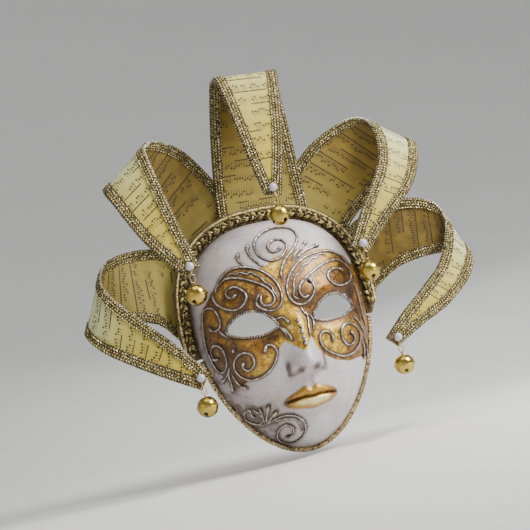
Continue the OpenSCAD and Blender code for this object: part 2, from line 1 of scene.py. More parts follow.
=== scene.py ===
import math

import bmesh
import bpy
import numpy as np
from bpy.props import FloatProperty, FloatVectorProperty, IntProperty, PointerProperty
from mathutils import Matrix, Vector


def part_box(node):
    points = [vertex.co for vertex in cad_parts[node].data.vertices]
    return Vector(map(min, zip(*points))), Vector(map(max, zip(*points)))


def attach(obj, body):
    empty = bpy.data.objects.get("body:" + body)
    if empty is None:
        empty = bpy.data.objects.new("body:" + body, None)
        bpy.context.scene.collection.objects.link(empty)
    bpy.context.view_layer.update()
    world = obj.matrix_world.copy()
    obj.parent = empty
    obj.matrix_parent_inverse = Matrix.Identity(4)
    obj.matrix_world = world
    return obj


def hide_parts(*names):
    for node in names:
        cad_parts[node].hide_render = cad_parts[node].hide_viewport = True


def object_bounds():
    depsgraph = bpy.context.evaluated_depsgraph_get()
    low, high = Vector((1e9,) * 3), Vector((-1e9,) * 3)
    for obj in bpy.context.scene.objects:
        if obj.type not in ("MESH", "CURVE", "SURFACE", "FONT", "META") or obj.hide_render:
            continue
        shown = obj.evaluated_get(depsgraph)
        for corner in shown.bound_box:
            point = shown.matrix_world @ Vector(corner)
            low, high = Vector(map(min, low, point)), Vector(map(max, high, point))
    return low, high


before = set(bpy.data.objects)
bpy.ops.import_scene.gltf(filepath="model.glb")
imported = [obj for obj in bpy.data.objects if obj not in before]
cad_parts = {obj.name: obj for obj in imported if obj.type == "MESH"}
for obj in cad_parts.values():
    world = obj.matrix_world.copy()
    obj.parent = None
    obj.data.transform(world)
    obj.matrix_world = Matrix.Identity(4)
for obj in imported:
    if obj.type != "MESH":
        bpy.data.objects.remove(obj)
CAD_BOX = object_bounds()

bl_info = {
    "name": "Venetian Mask Maker",
    "version": (1, 0, 0),
    "blender": (4, 5, 0),
    "location": "3D View > Sidebar > Mask",
    "description": "Makes a full-face carnival mask with five curled points, pearls and bells",
    "category": "Add Mesh",
}

MM = 0.001
FINE_STEPS = np.arange(0, 1, 0.05)
FACE_LOW, FACE_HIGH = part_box("face_shell")

# The face is drawn in millimetres: x to the right, z up, and depth towards the front.
RIM_A = math.radians(80)
RIM_SHARE = math.sin(RIM_A)
RIM_COS = math.cos(RIM_A)
FACE_ZC = -10.0
EYE_W = 43.0
EYE_H = 22.0
EYE_GAP = 79.0
EYE_Z = -1.0
EYE_RISE = 4.0
UPPER_SHARE = 0.7
LID_POINT = 1.4
MOUTH_Z = -74.0

# Each point: rim angle, layer behind the crown, turn of its bell, left edge, right edge.
POINTS = {
    "top": (85, 0, 20,
        [(-44, 0, -9), (-43, 0, 18), (-38, 8, 72), (-29, 20, 126), (-27, 32, 135), (-24, 43, 127),
            (-16, 54, 64), (-7, 53, 16)],
        [(44, 0, -17), (44, 0, 15), (40, 8, 70), (36, 20, 125), (33, 32, 134), (31, 43, 124),
            (19, 54, 64), (6, 53, 14)]),
    "upper_left": (130, 1, 55,
        [(-13, 0, -20), (-30, 0, 6), (-55, 3, 41), (-74, 14, 68), (-78, 26, 74), (-75, 40, 61),
            (-55, 50, 17), (-25, 53, -24)],
        [(52, 0, 14), (41, 0, 48), (8, 0, 98), (-20, 14, 112), (-34, 27, 106), (-35, 40, 90),
            (-26, 50, 36), (-13, 53, -17)]),
    "lower_left": (168, 2, -30,
        [(8, 0, -21), (-13, 0, -5), (-34, -4, 15), (-80, 5, 23), (-100, 15, 17), (-91, 27, -1),
            (-68, 36, -20), (-39, 43, -40), (-11, 46, -57)],
        [(17, 0, 59), (-2, 0, 77), (-33, -12, 85), (-64, 1, 80), (-77, 15, 65), (-75, 27, 46),
            (-52, 36, 16), (-24, 43, -17), (-3, 46, -46)]),
    "upper_right": (48, 1, 0,
        [(-45, 0, 21), (-33, 0, 47), (1, 0, 84), (41, 10, 102), (60, 22, 96), (61, 36, 70),
            (49, 46, 41), (24, 51, 6), (5, 53, -25)],
        [(9, 0, -21), (26, 0, 5), (57, 0, 31), (88, 10, 56), (100, 22, 67), (95, 36, 49),
            (78, 46, 22), (45, 51, -6), (17, 53, -33)]),
    "lower_right": (14, 2, 75,
        [(-11, 0, 49), (13, 0, 66), (55, -4, 78), (88, 6, 70), (98, 16, 47), (80, 27, 9),
            (53, 35, -14), (25, 41, -34), (1, 44, -55)],
        [(-7, 0, -19), (17, 0, -3), (47, -3, 15), (84, 6, 19), (114, 16, 12), (104, 27, -10),
            (74, 35, -33), (39, 41, -48), (9, 44, -63)]),
}

# Painted shade on each point's lining: how much darker it is painted than the other points, lighter where the
# number is below zero.
LINING_SHADE = {"top": 0.15, "upper_left": 0.3, "lower_left": -0.35, "upper_right": 0.15, "lower_right": 0.85}

# Raised lines on the face, as places across and up, with the radius of the bead at each end.
SCROLLS = {
    "relief_forehead": [
        ([(-3, 38), (-2, 45), (5, 55), (15, 63), (23, 71), (26, 79), (23, 86), (15, 89), (5, 90), (-6, 87),
            (-14, 81), (-18, 73), (-16, 64), (-9, 58), (0, 58), (8, 63), (12, 70), (9, 76), (1, 77), (-5, 73),
            (-5, 67), (0, 65), (6, 68)], 0.5, 2.1),
        ([(-17, 54), (-20, 58), (-24, 65), (-25, 71), (-23, 77)], 0.4, 2.3),
        ([(-30, 56), (-34, 61), (-36, 66), (-34, 71)], 0.4, 2.2),
        ([(12, 54), (18, 60), (25, 64), (32, 69)], 0.4, 2.1),
        ([(16, 54), (24, 59), (34, 62), (43, 64)], 0.4, 2.3),
    ],
    "relief_left_eye": [
        ([(-63, 41), (-57, 50), (-50, 56), (-43, 58), (-33, 57), (-22, 52), (-14, 44), (-9, 35), (-8, 25),
            (-10, 17), (-16, 12), (-24, 13), (-31, 18), (-32, 23), (-27, 29)], 0.6, 0.7),
        ([(-60, 45), (-52, 50), (-44, 49), (-35, 45), (-27, 40), (-20, 34), (-16, 27), (-16, 20), (-20, 17),
            (-26, 18), (-28, 22), (-26, 28)], 0.6, 0.7),
        ([(-50, 52), (-46, 54), (-42, 52), (-38, 53), (-33, 50), (-29, 51), (-25, 47), (-22, 44), (-19, 38),
            (-15, 34), (-14, 27), (-12, 22)], 0.4, 0.5),
        ([(-66, 39), (-65, 31), (-60, 24), (-52, 20), (-44, 22), (-39, 29), (-41, 36), (-47, 41), (-54, 39),
            (-55, 34), (-51, 31), (-47, 33)], 0.5, 2.0),
        ([(-77, 24), (-74, 28), (-69, 27), (-66, 21), (-65, 13), (-67, 7), (-72, 6), (-74, 10)], 0.5, 2.0),
        ([(-68, 7), (-66, 2), (-62, -3)], 0.6, 0.6),
        ([(-77, 24), (-79, 12), (-80, -2), (-79, -14), (-76, -27), (-72, -33), (-68, -30), (-67, -20),
            (-69, -11), (-74, -7), (-77, -12), (-76, -19), (-73, -20)], 0.5, 2.0),
        ([(-54, -29), (-55, -34), (-51, -37), (-46, -33), (-46, -26), (-51, -21), (-58, -22), (-62, -29),
            (-60, -38), (-53, -45), (-44, -46), (-34, -42), (-27, -34), (-24, -26), (-27, -20), (-32, -19),
            (-35, -24)], 2.0, 2.3),
        ([(-66, -30), (-67, -38), (-66, -45), (-65, -52)], 0.4, 1.8),
        ([(-65, -34), (-63, -42), (-60, -48), (-55, -52)], 0.4, 2.4),
        ([(-67, -33), (-69, -38), (-73, -42)], 0.4, 1.9),
        ([(-60, -15), (-60, -18)], 1.4, 1.6),
        ([(-18, 3), (-12, 3), (-8, -3)], 0.5, 1.3),
        ([(-14, -6), (-11, -12), (-9, -19)], 0.5, 1.2),
        ([(-17, -4), (-13, -11), (-12, -16)], 0.4, 0.8),
    ],
    "relief_right_eye": [
        ([(70, 40), (65, 49), (56, 55), (45, 57), (33, 56), (22, 53), (12, 47), (4, 39), (-1, 30), (-2, 22),
            (2, 14), (9, 11), (17, 14), (23, 21), (24, 28), (21, 33)], 0.5, 2.1),
        ([(70, 35), (65, 43), (57, 47), (47, 46), (36, 43), (26, 38), (17, 33), (11, 28), (9, 22), (12, 17),
            (17, 18)], 0.5, 0.7),
        ([(46, 53), (41, 55), (36, 52), (31, 52), (26, 48), (21, 47), (15, 41), (10, 38), (6, 31), (5, 26),
            (3, 20), (7, 16)], 0.4, 0.5),
        ([(69, 39), (70, 31), (66, 25), (58, 22), (49, 22), (42, 27), (42, 34), (48, 38), (55, 38),
            (60, 35)], 0.5, 2.0),
        ([(37, 15), (39, 16)], 1.2, 1.2),
        ([(46, 16), (48, 16)], 1.3, 1.3),
        ([(54, 13), (56, 12)], 1.1, 1.1),
        ([(70, 22), (72, 11), (72, 0), (72, -10), (74, -20)], 0.5, 0.6),
        ([(7, 9), (8, 3), (13, 0), (15, -6), (13, -14)], 0.6, 0.8),
        ([(10, 4), (10, -4), (8, -12), (7, -19)], 0.5, 1.0),
        ([(30, -28), (30, -22), (25, -18), (19, -20), (17, -27), (21, -34), (29, -40), (40, -44), (52, -42),
            (60, -35), (62, -26), (57, -18), (49, -15), (42, -19), (40, -27), (44, -34), (51, -34), (54, -28),
            (50, -24)], 2.1, 2.1),
        ([(64, -34), (66, -41), (64, -50)], 0.4, 1.7),
        ([(68, -30), (71, -38), (70, -49)], 0.4, 1.6),
        ([(60, -10), (66, -20), (70, -27)], 0.5, 0.6),
    ],
    "relief_chin": [
        ([(-64, -68), (-62, -75), (-57, -82), (-50, -88), (-43, -90)], 0.5, 0.6),
        ([(-50, -81), (-53, -78), (-54, -73), (-58, -75), (-57, -81), (-52, -86), (-46, -88), (-45, -82),
            (-49, -76), (-53, -72)], 1.6, 0.5),
        ([(-43, -90), (-44, -83), (-46, -74)], 0.4, 2.1),
        ([(-42, -90), (-41, -82), (-39, -73)], 0.4, 2.4),
        ([(-42, -90), (-37, -84), (-33, -80)], 0.4, 2.5),
        ([(-43, -90), (-36, -87), (-27, -85), (-18, -87), (-11, -93), (-9, -101), (-12, -109), (-19, -113),
            (-27, -111), (-32, -105), (-32, -98), (-26, -94), (-20, -98), (-20, -105),
            (-25, -106)], 0.6, 1.8),
        ([(-37, -89), (-28, -88), (-19, -90), (-14, -95), (-12, -102)], 0.4, 0.5),
    ],
}
# Beads down the nose: place across and up, and radius.
NOSE_BEADS = [(-0.5, -3, 2.1), (0, -8.5, 1.7), (0, -14, 2.3), (0, -19.5, 1.8), (0, -25, 2.6)]
# The outline of the gold round the eyes.
GOLD_EDGE = [(4, 63), (-7, 58), (-17, 53), (-27, 55), (-38, 58), (-50, 56), (-60, 48), (-70, 36), (-78, 24),
    (-80, 0), (-77, -28), (-68, -42), (-62, -50), (-52, -47), (-40, -47), (-29, -39), (-23, -28), (-19, -21),
    (-15.5, -19), (-9, -24), (-6, -28), (-2.5, -31), (1.5, -30), (4.5, -25), (8.5, -19.5), (11, -27),
    (16, -35), (23, -42), (34, -47), (48, -49.5), (60, -48), (68, -52), (90, -46), (90, 40), (76, 42),
    (68, 50), (52, 59), (30, 61), (16, 65)]

# Soft round spots on the face: amount, place across, spread across, place up, spread up.
# The first three tables are the same on both sides; the last two aren't.
FACE_FORMS = [
    (3, 30, 26, 21, 10),  # brow
    (-8, EYE_GAP / 2 - 2, 19, EYE_Z + 1, 12),  # eye socket
    (-3, 0, 10, 9, 8),  # dip between the brows
    (2.4, 0, 8.5, -40, 8),  # tip of the nose
    (5, 11.5, 5.8, -44, 6.5),  # wing of the nose
    (6, 0, 25, -72, 19),  # mound of the mouth
    (7, 0, 19, -105, 12),  # chin
    (4, 50, 17, -26, 18),  # cheek
    (-5, 7.2, 3.2, -47.8, 2.6),  # nostril
    (-2.2, 18, 2.2, -43.5, 7),  # crease beside the nose
    (-1.2, 15, 3, -53, 2),  # foot of that crease
]
# Painted shade in brown: in the nostrils, in the crease beside the nose and at its foot, under the nose, on
# the side of the nose, under the lower lip and in the inner corners of the eyes.
SHADE_SPOTS = [
    (1.7, 7.3, 3.4, -47.4, 2.9),  # nostril
    (1.3, 17.6, 2.2, -43.5, 7.5),  # crease beside the nose
    (0.7, 14, 5, -50.5, 2.8),  # foot of that crease
    (0.32, 0, 16, -54, 6),  # under the nose
    (0.3, 13, 5, -38, 9),  # side of the nose
    (0.16, 0, 18, -89, 3),  # under the lower lip
    (0.5, 17.5, 5, -4, 8),  # inner corner of the eye
]
BURNT_SPOTS = [(0.16, 68, 12, -5, 30)]
# Painted shade on the lower left of the chin, on the face's darker side.
LEFT_CHIN_SHADE = [(0.62, -40, 27, -88, 22)]
# Patches that darken the gold, or brighten it below zero: the bright ones on the nose bridge and the upper
# right forehead are painted highlights, the dark one over the left eye is painted shade, and the others vary
# the gold.
BURNT_AND_LIGHT_PATCHES = [(0.16, -42, 30, 10, 26), (0.12, 12, 13, 18, 16), (-0.2, 0, 8, -12, 34),
    (-0.34, 26, 24, 44, 14), (-0.1, 30, 20, -38, 12), (0.12, 46, 24, -30, 18)]


# ---- sizes and colours a user would change ----
def length(name, description, default, low, high):
    return FloatProperty(name=name, description=description, default=default, min=low, max=high,
        unit="LENGTH")


def colour(name, description, *default):
    return FloatVectorProperty(name=name, description=description, default=default, size=3, min=0, max=1,
        subtype="COLOR")


class MaskSizes(bpy.types.PropertyGroup):
    """Sizes of the mask's pieces."""
    face_width: length("Face width", "Width of the face just above the eyes", 0.170, 0.14, 0.21)
    face_height: length("Face height", "Height of the face, crown to chin", FACE_HIGH.z - FACE_LOW.z,
        0.18, 0.27)
    face_bulge: length("Face bulge", "Distance that the face stands forward of its rim", 0.062, 0.05, 0.075)
    nose_height: length("Nose height", "Extra height of the nose tip over the cheeks", 0.015, 0.01, 0.02)
    shell_wall: length("Shell wall", "Thickness of the papier-mache", 0.003, 0.002, 0.004)
    scroll_line: length("Scroll line", "Width of a raised line on the face", 0.0021, 0.0015, 0.003)
    rim_cord: length("Eye rim", "Diameter of the cord round an eye opening", 0.0027, 0.002, 0.0035)
    card: length("Card", "Thickness of the stiff card in a point", 0.0012, 0.0008, 0.0016)
    paper: length("Paper", "Thickness of the music paper on each side", 0.0003, 0.0002, 0.0005)
    braid_width: length("Braid width", "Width of the braid folded over an edge", 0.0085, 0.006, 0.0095)
    braid_height: length("Braid height", "Thickness of the braid on each side", 0.0011, 0.0008, 0.0014)
    bell: length("Bell", "Diameter of a bell's ball", 0.0195, 0.016, 0.022)
    stave_pitch: length("Stave pitch", "Distance between the staves of the music", 0.0135, 0.008, 0.02)
    seed: IntProperty(name="Seed", description="Starting number of the small irregularities", default=7)


class MaskColours(bpy.types.PropertyGroup):
    """Colours of the mask's finishes."""
    porcelain: colour("Porcelain", "Glazed white of the face", 0.63, 0.60, 0.61)
    # The brown of the wash, also used for the painted shade in the face's hollows and down its left side.
    wash_and_shade_brown: colour("Antiquing", "Brown wash in the creases", 0.085, 0.045, 0.022)
    leaf: colour("Gold leaf", "Gold round the eyes", 0.58, 0.35, 0.026)
    silver: colour("Scroll silver", "Silver-bronze of the raised lines", 0.33, 0.28, 0.26)
    thread: colour("Gold thread", "Metal thread of the braid", 0.56, 0.45, 0.17)
    cream: colour("Cream paper", "Music paper on the outside of a point", 0.54, 0.42, 0.06)
    ochre: colour("Ochre paper", "Music paper on the inside of a point", 0.205, 0.132, 0.018)
    brass: colour("Bell brass", "Polished brass of the bells", 0.54, 0.39, 0.085)
    pearl: colour("Pearl", "Pale lilac of the pearls", 0.56, 0.52, 0.60)
    floor: colour("Floor", "Plain pale floor", 0.80, 0.80, 0.80)


def sizes():
    return bpy.context.scene.mask_sizes


def colours():
    return bpy.context.scene.mask_colours


# ---- small helpers ----
def bump(v):
    return np.exp(-v * v)


def spots(table, x, z):
    """The sum of a table's soft round spots."""
    return sum(amount * bump((x - px) / wx) * bump((z - pz) / wz) for amount, px, wx, pz, wz in table)


def ease(a, b, v):
    t = np.clip((v - a) / (b - a), 0, 1)
    return t * t * (3 - 2 * t)


def unit(v):
    return v / np.maximum(np.linalg.norm(v, axis=-1, keepdims=True), 1e-12)


def catmull(pts, i, t):
    m = len(pts)
    a, b, c, d = pts[max(0, i - 1)], pts[i], pts[i + 1], pts[min(m - 1, i + 2)]
    bend = (2 * a - 5 * b + 4 * c - d) * t * t + (3 * b - a - 3 * c + d) * t ** 3
    return 0.5 * (2 * b + (c - a) * t + bend)


def smooth_line(pts, step):
    """A curve through the places, with its own places a step apart."""
    pts = np.array(pts, float)
    fine = [catmull(pts, i, t) for i in range(len(pts) - 1) for t in FINE_STEPS]
    return even_line(np.array(fine + [pts[-1]]), step)


def even_line(line, step, closed=False):
    if closed:
        line = np.vstack([line, line[:1]])
    run = run_of(line)
    count = max(3, int(round(run[-1] / step)))
    at = np.linspace(0, run[-1], count + 1)
    if closed:
        at = at[:-1]
    return np.stack([np.interp(at, run, line[:, k]) for k in range(line.shape[1])], 1)


def between(where, v):
    """The rows of v at fractional row numbers."""
    return np.stack([np.interp(where, np.arange(len(v)), v[:, k]) for k in range(v.shape[1])], 1)


def run_of(line):
    return np.concatenate([[0], np.cumsum(np.linalg.norm(np.diff(line, axis=0), axis=1))])


def scatter(*whole):
    """A steady random number from 0 to 1 for each set of whole numbers."""
    total = sizes().seed * 0.731
    for k, v in enumerate(whole):
        total = total + np.asarray(v, float) * (12.9898 + 65.341 * k)
    part = np.sin(total) * 43758.5453
    return part - np.floor(part)


# ---- the face surface ----
def half_width(t):
    return 1 + 0.13 * t - 0.04 * t * t


def fullness(c, s):
    p = 2 + 0.5 * ease(0, 0.7, s)
    return (np.abs(c) ** p + np.abs(s) ** p) ** (-1 / p)


def face_halves():
    return sizes().face_width / MM / 2, sizes().face_height / MM / 2, sizes().face_bulge / MM


def rho(x, z):
    half_w, half_h, _ = face_halves()
    t = (z - FACE_ZC) / half_h
    c = x / (half_w * half_width(np.clip(t, -1.1, 1.1)))
    r = np.maximum(1e-6, np.hypot(c, t))
    return r / fullness(c / r, t / r)


def dome(r):
    s = np.minimum(1, r) * RIM_SHARE
    return (np.sqrt(1 - s * s) - RIM_COS) / (1 - RIM_COS)


def lip_bounds(x):
    """The mouth line and the lips' heights above and below it."""
    a = np.abs(x)
    line = MOUTH_Z + 1.8 - 0.0035 * x * x - 0.8 * bump(x / 5)
    taper = np.sqrt(np.clip(1 - (a / 26.5) ** 2, 0, 1))
    top = 8.0 * taper ** 0.9 + 2.2 * bump((a - 6.5) / 5) - 0.8 * bump(a / 3)
    low = 11.8 * taper ** 1.2
    return line, top * (taper > 0), low, taper


def features(x, z):
    """Brow, sockets, nose, lips and chin, as heights over the dome."""
    a = np.abs(x)
    down_nose = np.clip((14 - z) / 56, 0, 1)
    ridge = (2 + sizes().nose_height / MM * down_nose ** 1.1) * ease(22, 2, z) * ease(-54, -43, z)
    f = spots(FACE_FORMS, a, z) + ridge * bump(a / (7.5 + 5 * down_nose))
    groove = 0.9 * bump((a - 4.6) / 2) - 1.3 * bump(a / 2.4)
    f = f + groove * ease(-67, -62, z) * ease(-50, -56, z)
    line, top, low, taper = lip_bounds(x)
    up = np.clip((z - line) / np.maximum(top, 0.01), 0, 1)
    down = np.clip((line - z) / np.maximum(low, 0.01), 0, 1)
    full = np.minimum(1, taper * 1.3)
    f = f + np.where((z >= line) & (up < 1), 3.6 * np.sin(np.pi * up ** 0.7) ** 1.2 * full, 0)
    f = f + np.where((z < line) & (down < 1), 5.2 * np.sin(np.pi * down ** 0.75) ** 1.2 * full, 0)
    return f - 1.5 * bump((z - line) / 1.3) * ease(28, 20, a)


def depth(x, z):
    r = rho(x, z)
    return face_halves()[2] * dome(r) + features(x, z) * ease(1, 0.82, r)


def skin_normal(x, z):
    e = 0.5
    across = depth(x - e, z) - depth(x + e, z)
    up = depth(x, z - e) - depth(x, z + e)
    return unit(np.stack([across, np.full_like(x, -2 * e), up], -1))


def skin_place(x, z):
    return np.stack([x, -depth(x, z), z], -1)


def rim_at(a):
    half_w, half_h, _ = face_halves()
    c, s = np.cos(np.radians(a)), np.sin(np.radians(a))
    q = fullness(c, s)
    t = q * s
    return np.stack([q * c * half_w * half_width(t), FACE_ZC + half_h * t], -1)


def rim_off(a, d):
    v = unit(rim_at(a + 1) - rim_at(a - 1))
    return rim_at(a) + d * np.stack([v[..., 1], -v[..., 0]], -1)


def eye_outline(side, grow, steps=96):
    a = 2 * np.pi * np.arange(steps) / steps
    x = (EYE_W / 2 + grow) * np.cos(a)
    share = np.where(np.sin(a) > 0, UPPER_SHARE, 1 - UPPER_SHARE)
    z = (share * EYE_H + grow) * np.sign(np.sin(a)) * np.abs(np.sin(a)) ** LID_POINT + EYE_RISE * x / EYE_W
    return np.stack([side * (EYE_GAP / 2 + x), EYE_Z + z], 1)


# ---- building meshes ----
def settled(name=None):
    """The piece just added, with its place and size worked into its mesh."""
    bpy.ops.object.transform_apply(location=True, rotation=True, scale=True)
    return rename(bpy.context.object, name) if name else bpy.context.object


def clear_selection():
    if bpy.context.mode != "OBJECT":
        bpy.ops.object.mode_set(mode="OBJECT")
    bpy.ops.object.select_all(action="DESELECT")
    bpy.context.view_layer.objects.active = None


def select_only(*objs):
    clear_selection()
    for o in objs:
        o.select_set(True)
    bpy.context.view_layer.objects.active = objs[0]


def rename(obj, name):
    obj.name = name
    obj.data.name = name
    return obj


def lay_grid(name, across, along, place, uv=None, marks=None):
    """Adds a grid, puts its crossings where place(i, j) says in millimetres, and stores uv and marks."""
    clear_selection()
    bpy.ops.mesh.primitive_grid_add(x_subdivisions=across, y_subdivisions=along, size=2)
    obj = rename(bpy.context.object, name)
    mesh = obj.data
    co = np.empty(len(mesh.vertices) * 3)
    mesh.vertices.foreach_get("co", co)
    co = co.reshape(-1, 3)
    i = np.rint((co[:, 0] + 1) / 2 * across).astype(int)
    j = np.rint((co[:, 1] + 1) / 2 * along).astype(int)
    mesh.vertices.foreach_set("co", (place(i, j) * MM).ravel())
    corner = np.empty(len(mesh.loops), int)
    mesh.loops.foreach_get("vertex_index", corner)
    if uv is not None:
        mesh.uv_layers[0].data.foreach_set("uv", (uv(i, j)[corner] * MM).ravel())
    for key, values in (marks or {}).items():
        layer = mesh.attributes.new(key, "FLOAT", "POINT")
        layer.data.foreach_set("value", values(i, j).astype(float))
    mesh.update()
    return obj


def close_seams(obj, gap=2e-6):
    """Welds the places that coincide, and turns every face outwards."""
    select_only(obj)
    bpy.ops.object.mode_set(mode="EDIT")
    bpy.ops.mesh.select_all(action="SELECT")
    bpy.ops.mesh.remove_doubles(threshold=gap)
    bpy.ops.mesh.normals_make_consistent(inside=False)
    bpy.ops.object.mode_set(mode="OBJECT")
    return obj


def apply_modifier(obj, kind, **settings):
    select_only(obj)
    mod = obj.modifiers.new(kind.title(), kind)
    for key, value in settings.items():
        setattr(mod, key, value)
    bpy.ops.object.modifier_apply(modifier=mod.name)
    return obj


def join(name, objs):
    if len(objs) > 1:
        select_only(*objs)
        bpy.ops.object.join()
    return rename(objs[0], name)


def smooth(obj, angle=None):
    select_only(obj)
    if angle is None:
        bpy.ops.object.shade_smooth()
    else:
        bpy.ops.object.shade_smooth_by_angle(angle=math.radians(angle))
    return obj


def side_vectors(line, normals, closed):
    ahead = np.roll(line, -1, 0) if closed else np.vstack([line[1:], line[-1:]])
    behind = np.roll(line, 1, 0) if closed else np.vstack([line[:1], line[:-1]])
    t = unit(ahead - behind)
    n = unit(normals - (normals * t).sum(1, keepdims=True) * t)
    return np.cross(t, n), n


def tube(name, line, normals, radius, sides=8, closed=False, squash=1.0, crest=None, turn=None,
        lobes=0, lobe=0.0):
    """A tube along a line, closed at its ends, with a crest mark from 0 at its foot to 1 on top."""
    b, n = side_vectors(line, normals, closed)
    radius = np.broadcast_to(np.asarray(radius, float), (len(line),))
    turn = np.zeros(len(line)) if turn is None else turn
    rings = np.arange(len(line) + 1) % len(line) if closed else np.concatenate(
        [[0], np.arange(len(line)), [len(line) - 1]])
    wide = np.ones(len(rings))
    if not closed:
        wide[0] = wide[-1] = 0
    run = run_of(line)
    run = np.append(run, run[-1] + np.linalg.norm(line[0] - line[-1])) if closed else run[rings]
    angle = 2 * np.pi * (np.arange(sides + 1) % sides) / sides

    def place(i, j):
        k = rings[j]
        a = angle[i]
        r = (radius[k] * wide[j] * (1 + lobe * np.cos(lobes * a)))[:, None]
        p = np.cos(a)
        q = np.sin(a) * squash
        c, s = np.cos(turn[k]), np.sin(turn[k])
        return line[k] + r * ((p * c - q * s)[:, None] * b[k] + (p * s + q * c)[:, None] * n[k])

    def mark(i, j):
        if crest is not None:
            return crest(angle[i], rings[j])
        return 0.5 + 0.5 * np.sin(angle[i])

    def uv(i, j):
        return np.stack([i * 1.0, run[j]], 1)

    return close_seams(lay_grid(name, sides, len(rings) - 1, place, uv, {"crest": mark}))


def rope(name, line, normals, radius, strands=2, pitch=6.0, sides=8, closed=False, plump=0.56):
    """Strands twisted round a line. The crest mark is 1 where a strand stands out and 0 in the grooves."""
    b, n = side_vectors(line, normals, closed)
    run = run_of(line)
    total = run[-1] + (np.linalg.norm(line[0] - line[-1]) if closed else 0)
    turns = max(1, round(total / pitch)) if closed else total / pitch
    pieces = []
    for k in range(strands):
        a = 2 * np.pi * (turns * run / total + k / strands)
        out = np.cos(a)[:, None] * b + np.sin(a)[:, None] * n
        path = line + radius * (1 - plump) * out

        def crest(angle, ring, out=out, path=path):
            pb, pn = side_vectors(path, normals, closed)
            d = np.cos(angle)[:, None] * pb[ring] + np.sin(angle)[:, None] * pn[ring]
            return 0.5 + 0.5 * (d * out[ring]).sum(1)

        pieces.append(tube(name, path, normals, radius * plump, sides, closed, crest=crest))
    return smooth(join(name, pieces))


# ---- node recipes ----
class Recipe:
    """Adds nodes to a tree and joins them."""

    def __init__(self, tree):
        self.tree = tree

    def feed(self, socket, value):
        if isinstance(value, bpy.types.NodeSocket):
            self.tree.links.new(value, socket)
        elif isinstance(value, (tuple, list)) and len(value) == 3 and socket.type == "RGBA":
            socket.default_value = (*value, 1)
        else:
            socket.default_value = value

    def add(self, kind, inputs=None, **settings):
        node = self.tree.nodes.new(kind)
        for key, value in settings.items():
            setattr(node, key, value)
        for key, value in (inputs or {}).items():
            self.feed(node.inputs[key], value)
        return node

    def math(self, operation, a, b=0.0, c=0.0, clamp=False):
        inputs = {0: a, 1: b}
        if operation == "MULTIPLY_ADD":
            inputs[2] = c
        return self.add("ShaderNodeMath", inputs, operation=operation, use_clamp=clamp).outputs[0]

    def times(self, a, b):
        return self.math("MULTIPLY", a, b, clamp=True)

    def mix(self, factor, a, b):
        return self.add("ShaderNodeMix", {0: factor, 6: a, 7: b}, data_type="RGBA").outputs[2]

    def ease(self, value, low, high, start=0.0, end=1.0):
        inputs = {"Value": value, "From Min": low, "From Max": high, "To Min": start, "To Max": end}
        return self.add("ShaderNodeMapRange", inputs, interpolation_type="SMOOTHSTEP").outputs[0]

    def ramp(self, value, stops):
        node = self.add("ShaderNodeValToRGB", {0: value})
        band = node.color_ramp
        while len(band.elements) < len(stops):
            band.elements.new(0.5)
        for element, (at, colour) in zip(band.elements, stops):
            element.position = at
            element.color = (*colour, 1)
        return node.outputs[0]

    def noise(self, vector, size, detail=3.0, roughness=0.55):
        inputs = {"Vector": vector, "Scale": 1 / size, "Detail": detail, "Roughness": roughness}
        return self.add("ShaderNodeTexNoise", inputs).outputs["Fac"]

    def cells(self, vector, size, feature="F1", output="Distance"):
        inputs = {"Vector": vector, "Scale": 1 / size}
        return self.add("ShaderNodeTexVoronoi", inputs, feature=feature).outputs[output]

    def mark(self, name):
        return self.add("ShaderNodeAttribute", attribute_name=name).outputs["Fac"]

    def place(self):
        return self.add("ShaderNodeTexCoord").outputs["Object"]

    def uv(self):
        return self.add("ShaderNodeTexCoord").outputs["UV"]

    def split(self, vector):
        return self.add("ShaderNodeSeparateXYZ", {0: vector}).outputs

    def merge(self, x, y, z=0.0):
        return self.add("ShaderNodeCombineXYZ", {0: x, 1: y, 2: z}).outputs[0]

    def group(self, tree, **inputs):
        node = self.add("ShaderNodeGroup")
        node.node_tree = tree
        for key, value in inputs.items():
            self.feed(node.inputs[key.replace("_", " ")], value)
        return node.outputs

    def relief(self, height, distance, strength=1.0):
        inputs = {"Height": height, "Distance": distance, "Strength": strength}
        return self.add("ShaderNodeBump", inputs).outputs["Normal"]


def new_group(name, inputs, outputs, build):
    """A shader node group, built once."""
    if name in bpy.data.node_groups:
        return bpy.data.node_groups[name]
    tree = bpy.data.node_groups.new(name, "ShaderNodeTree")
    for key, kind, value in inputs:
        socket = tree.interface.new_socket(key, in_out="INPUT", socket_type=kind)
        if value is not None:
            socket.default_value = value
    for key, kind in outputs:
        tree.interface.new_socket(key, in_out="OUTPUT", socket_type=kind)
    recipe = Recipe(tree)
    start = recipe.add("NodeGroupInput")
    end = recipe.add("NodeGroupOutput")
    build(recipe, start.outputs, end.inputs)
    return tree


def patina_group():
    """Blotches and specks that dull a surface."""
    def build(r, source, result):
        broad = r.noise(source["Vector"], 0.018, 4.0)
        fine = r.noise(source["Vector"], 0.0022, 3.0)
        blotch = r.ease(broad, 0.42, 0.68)
        speck = r.ease(fine, 0.58, 0.72)
        r.feed(result["Blotch"], r.math("MULTIPLY", blotch, source["Amount"], clamp=True))
        r.feed(result["Speck"], r.math("MULTIPLY", speck, source["Amount"], clamp=True))
        r.feed(result["Grain"], fine)
    return new_group("Patina", [("Vector", "NodeSocketVector", None), ("Amount", "NodeSocketFloat", 1.0)],
        [("Blotch", "NodeSocketFloat"), ("Speck", "NodeSocketFloat"), ("Grain", "NodeSocketFloat")], build)


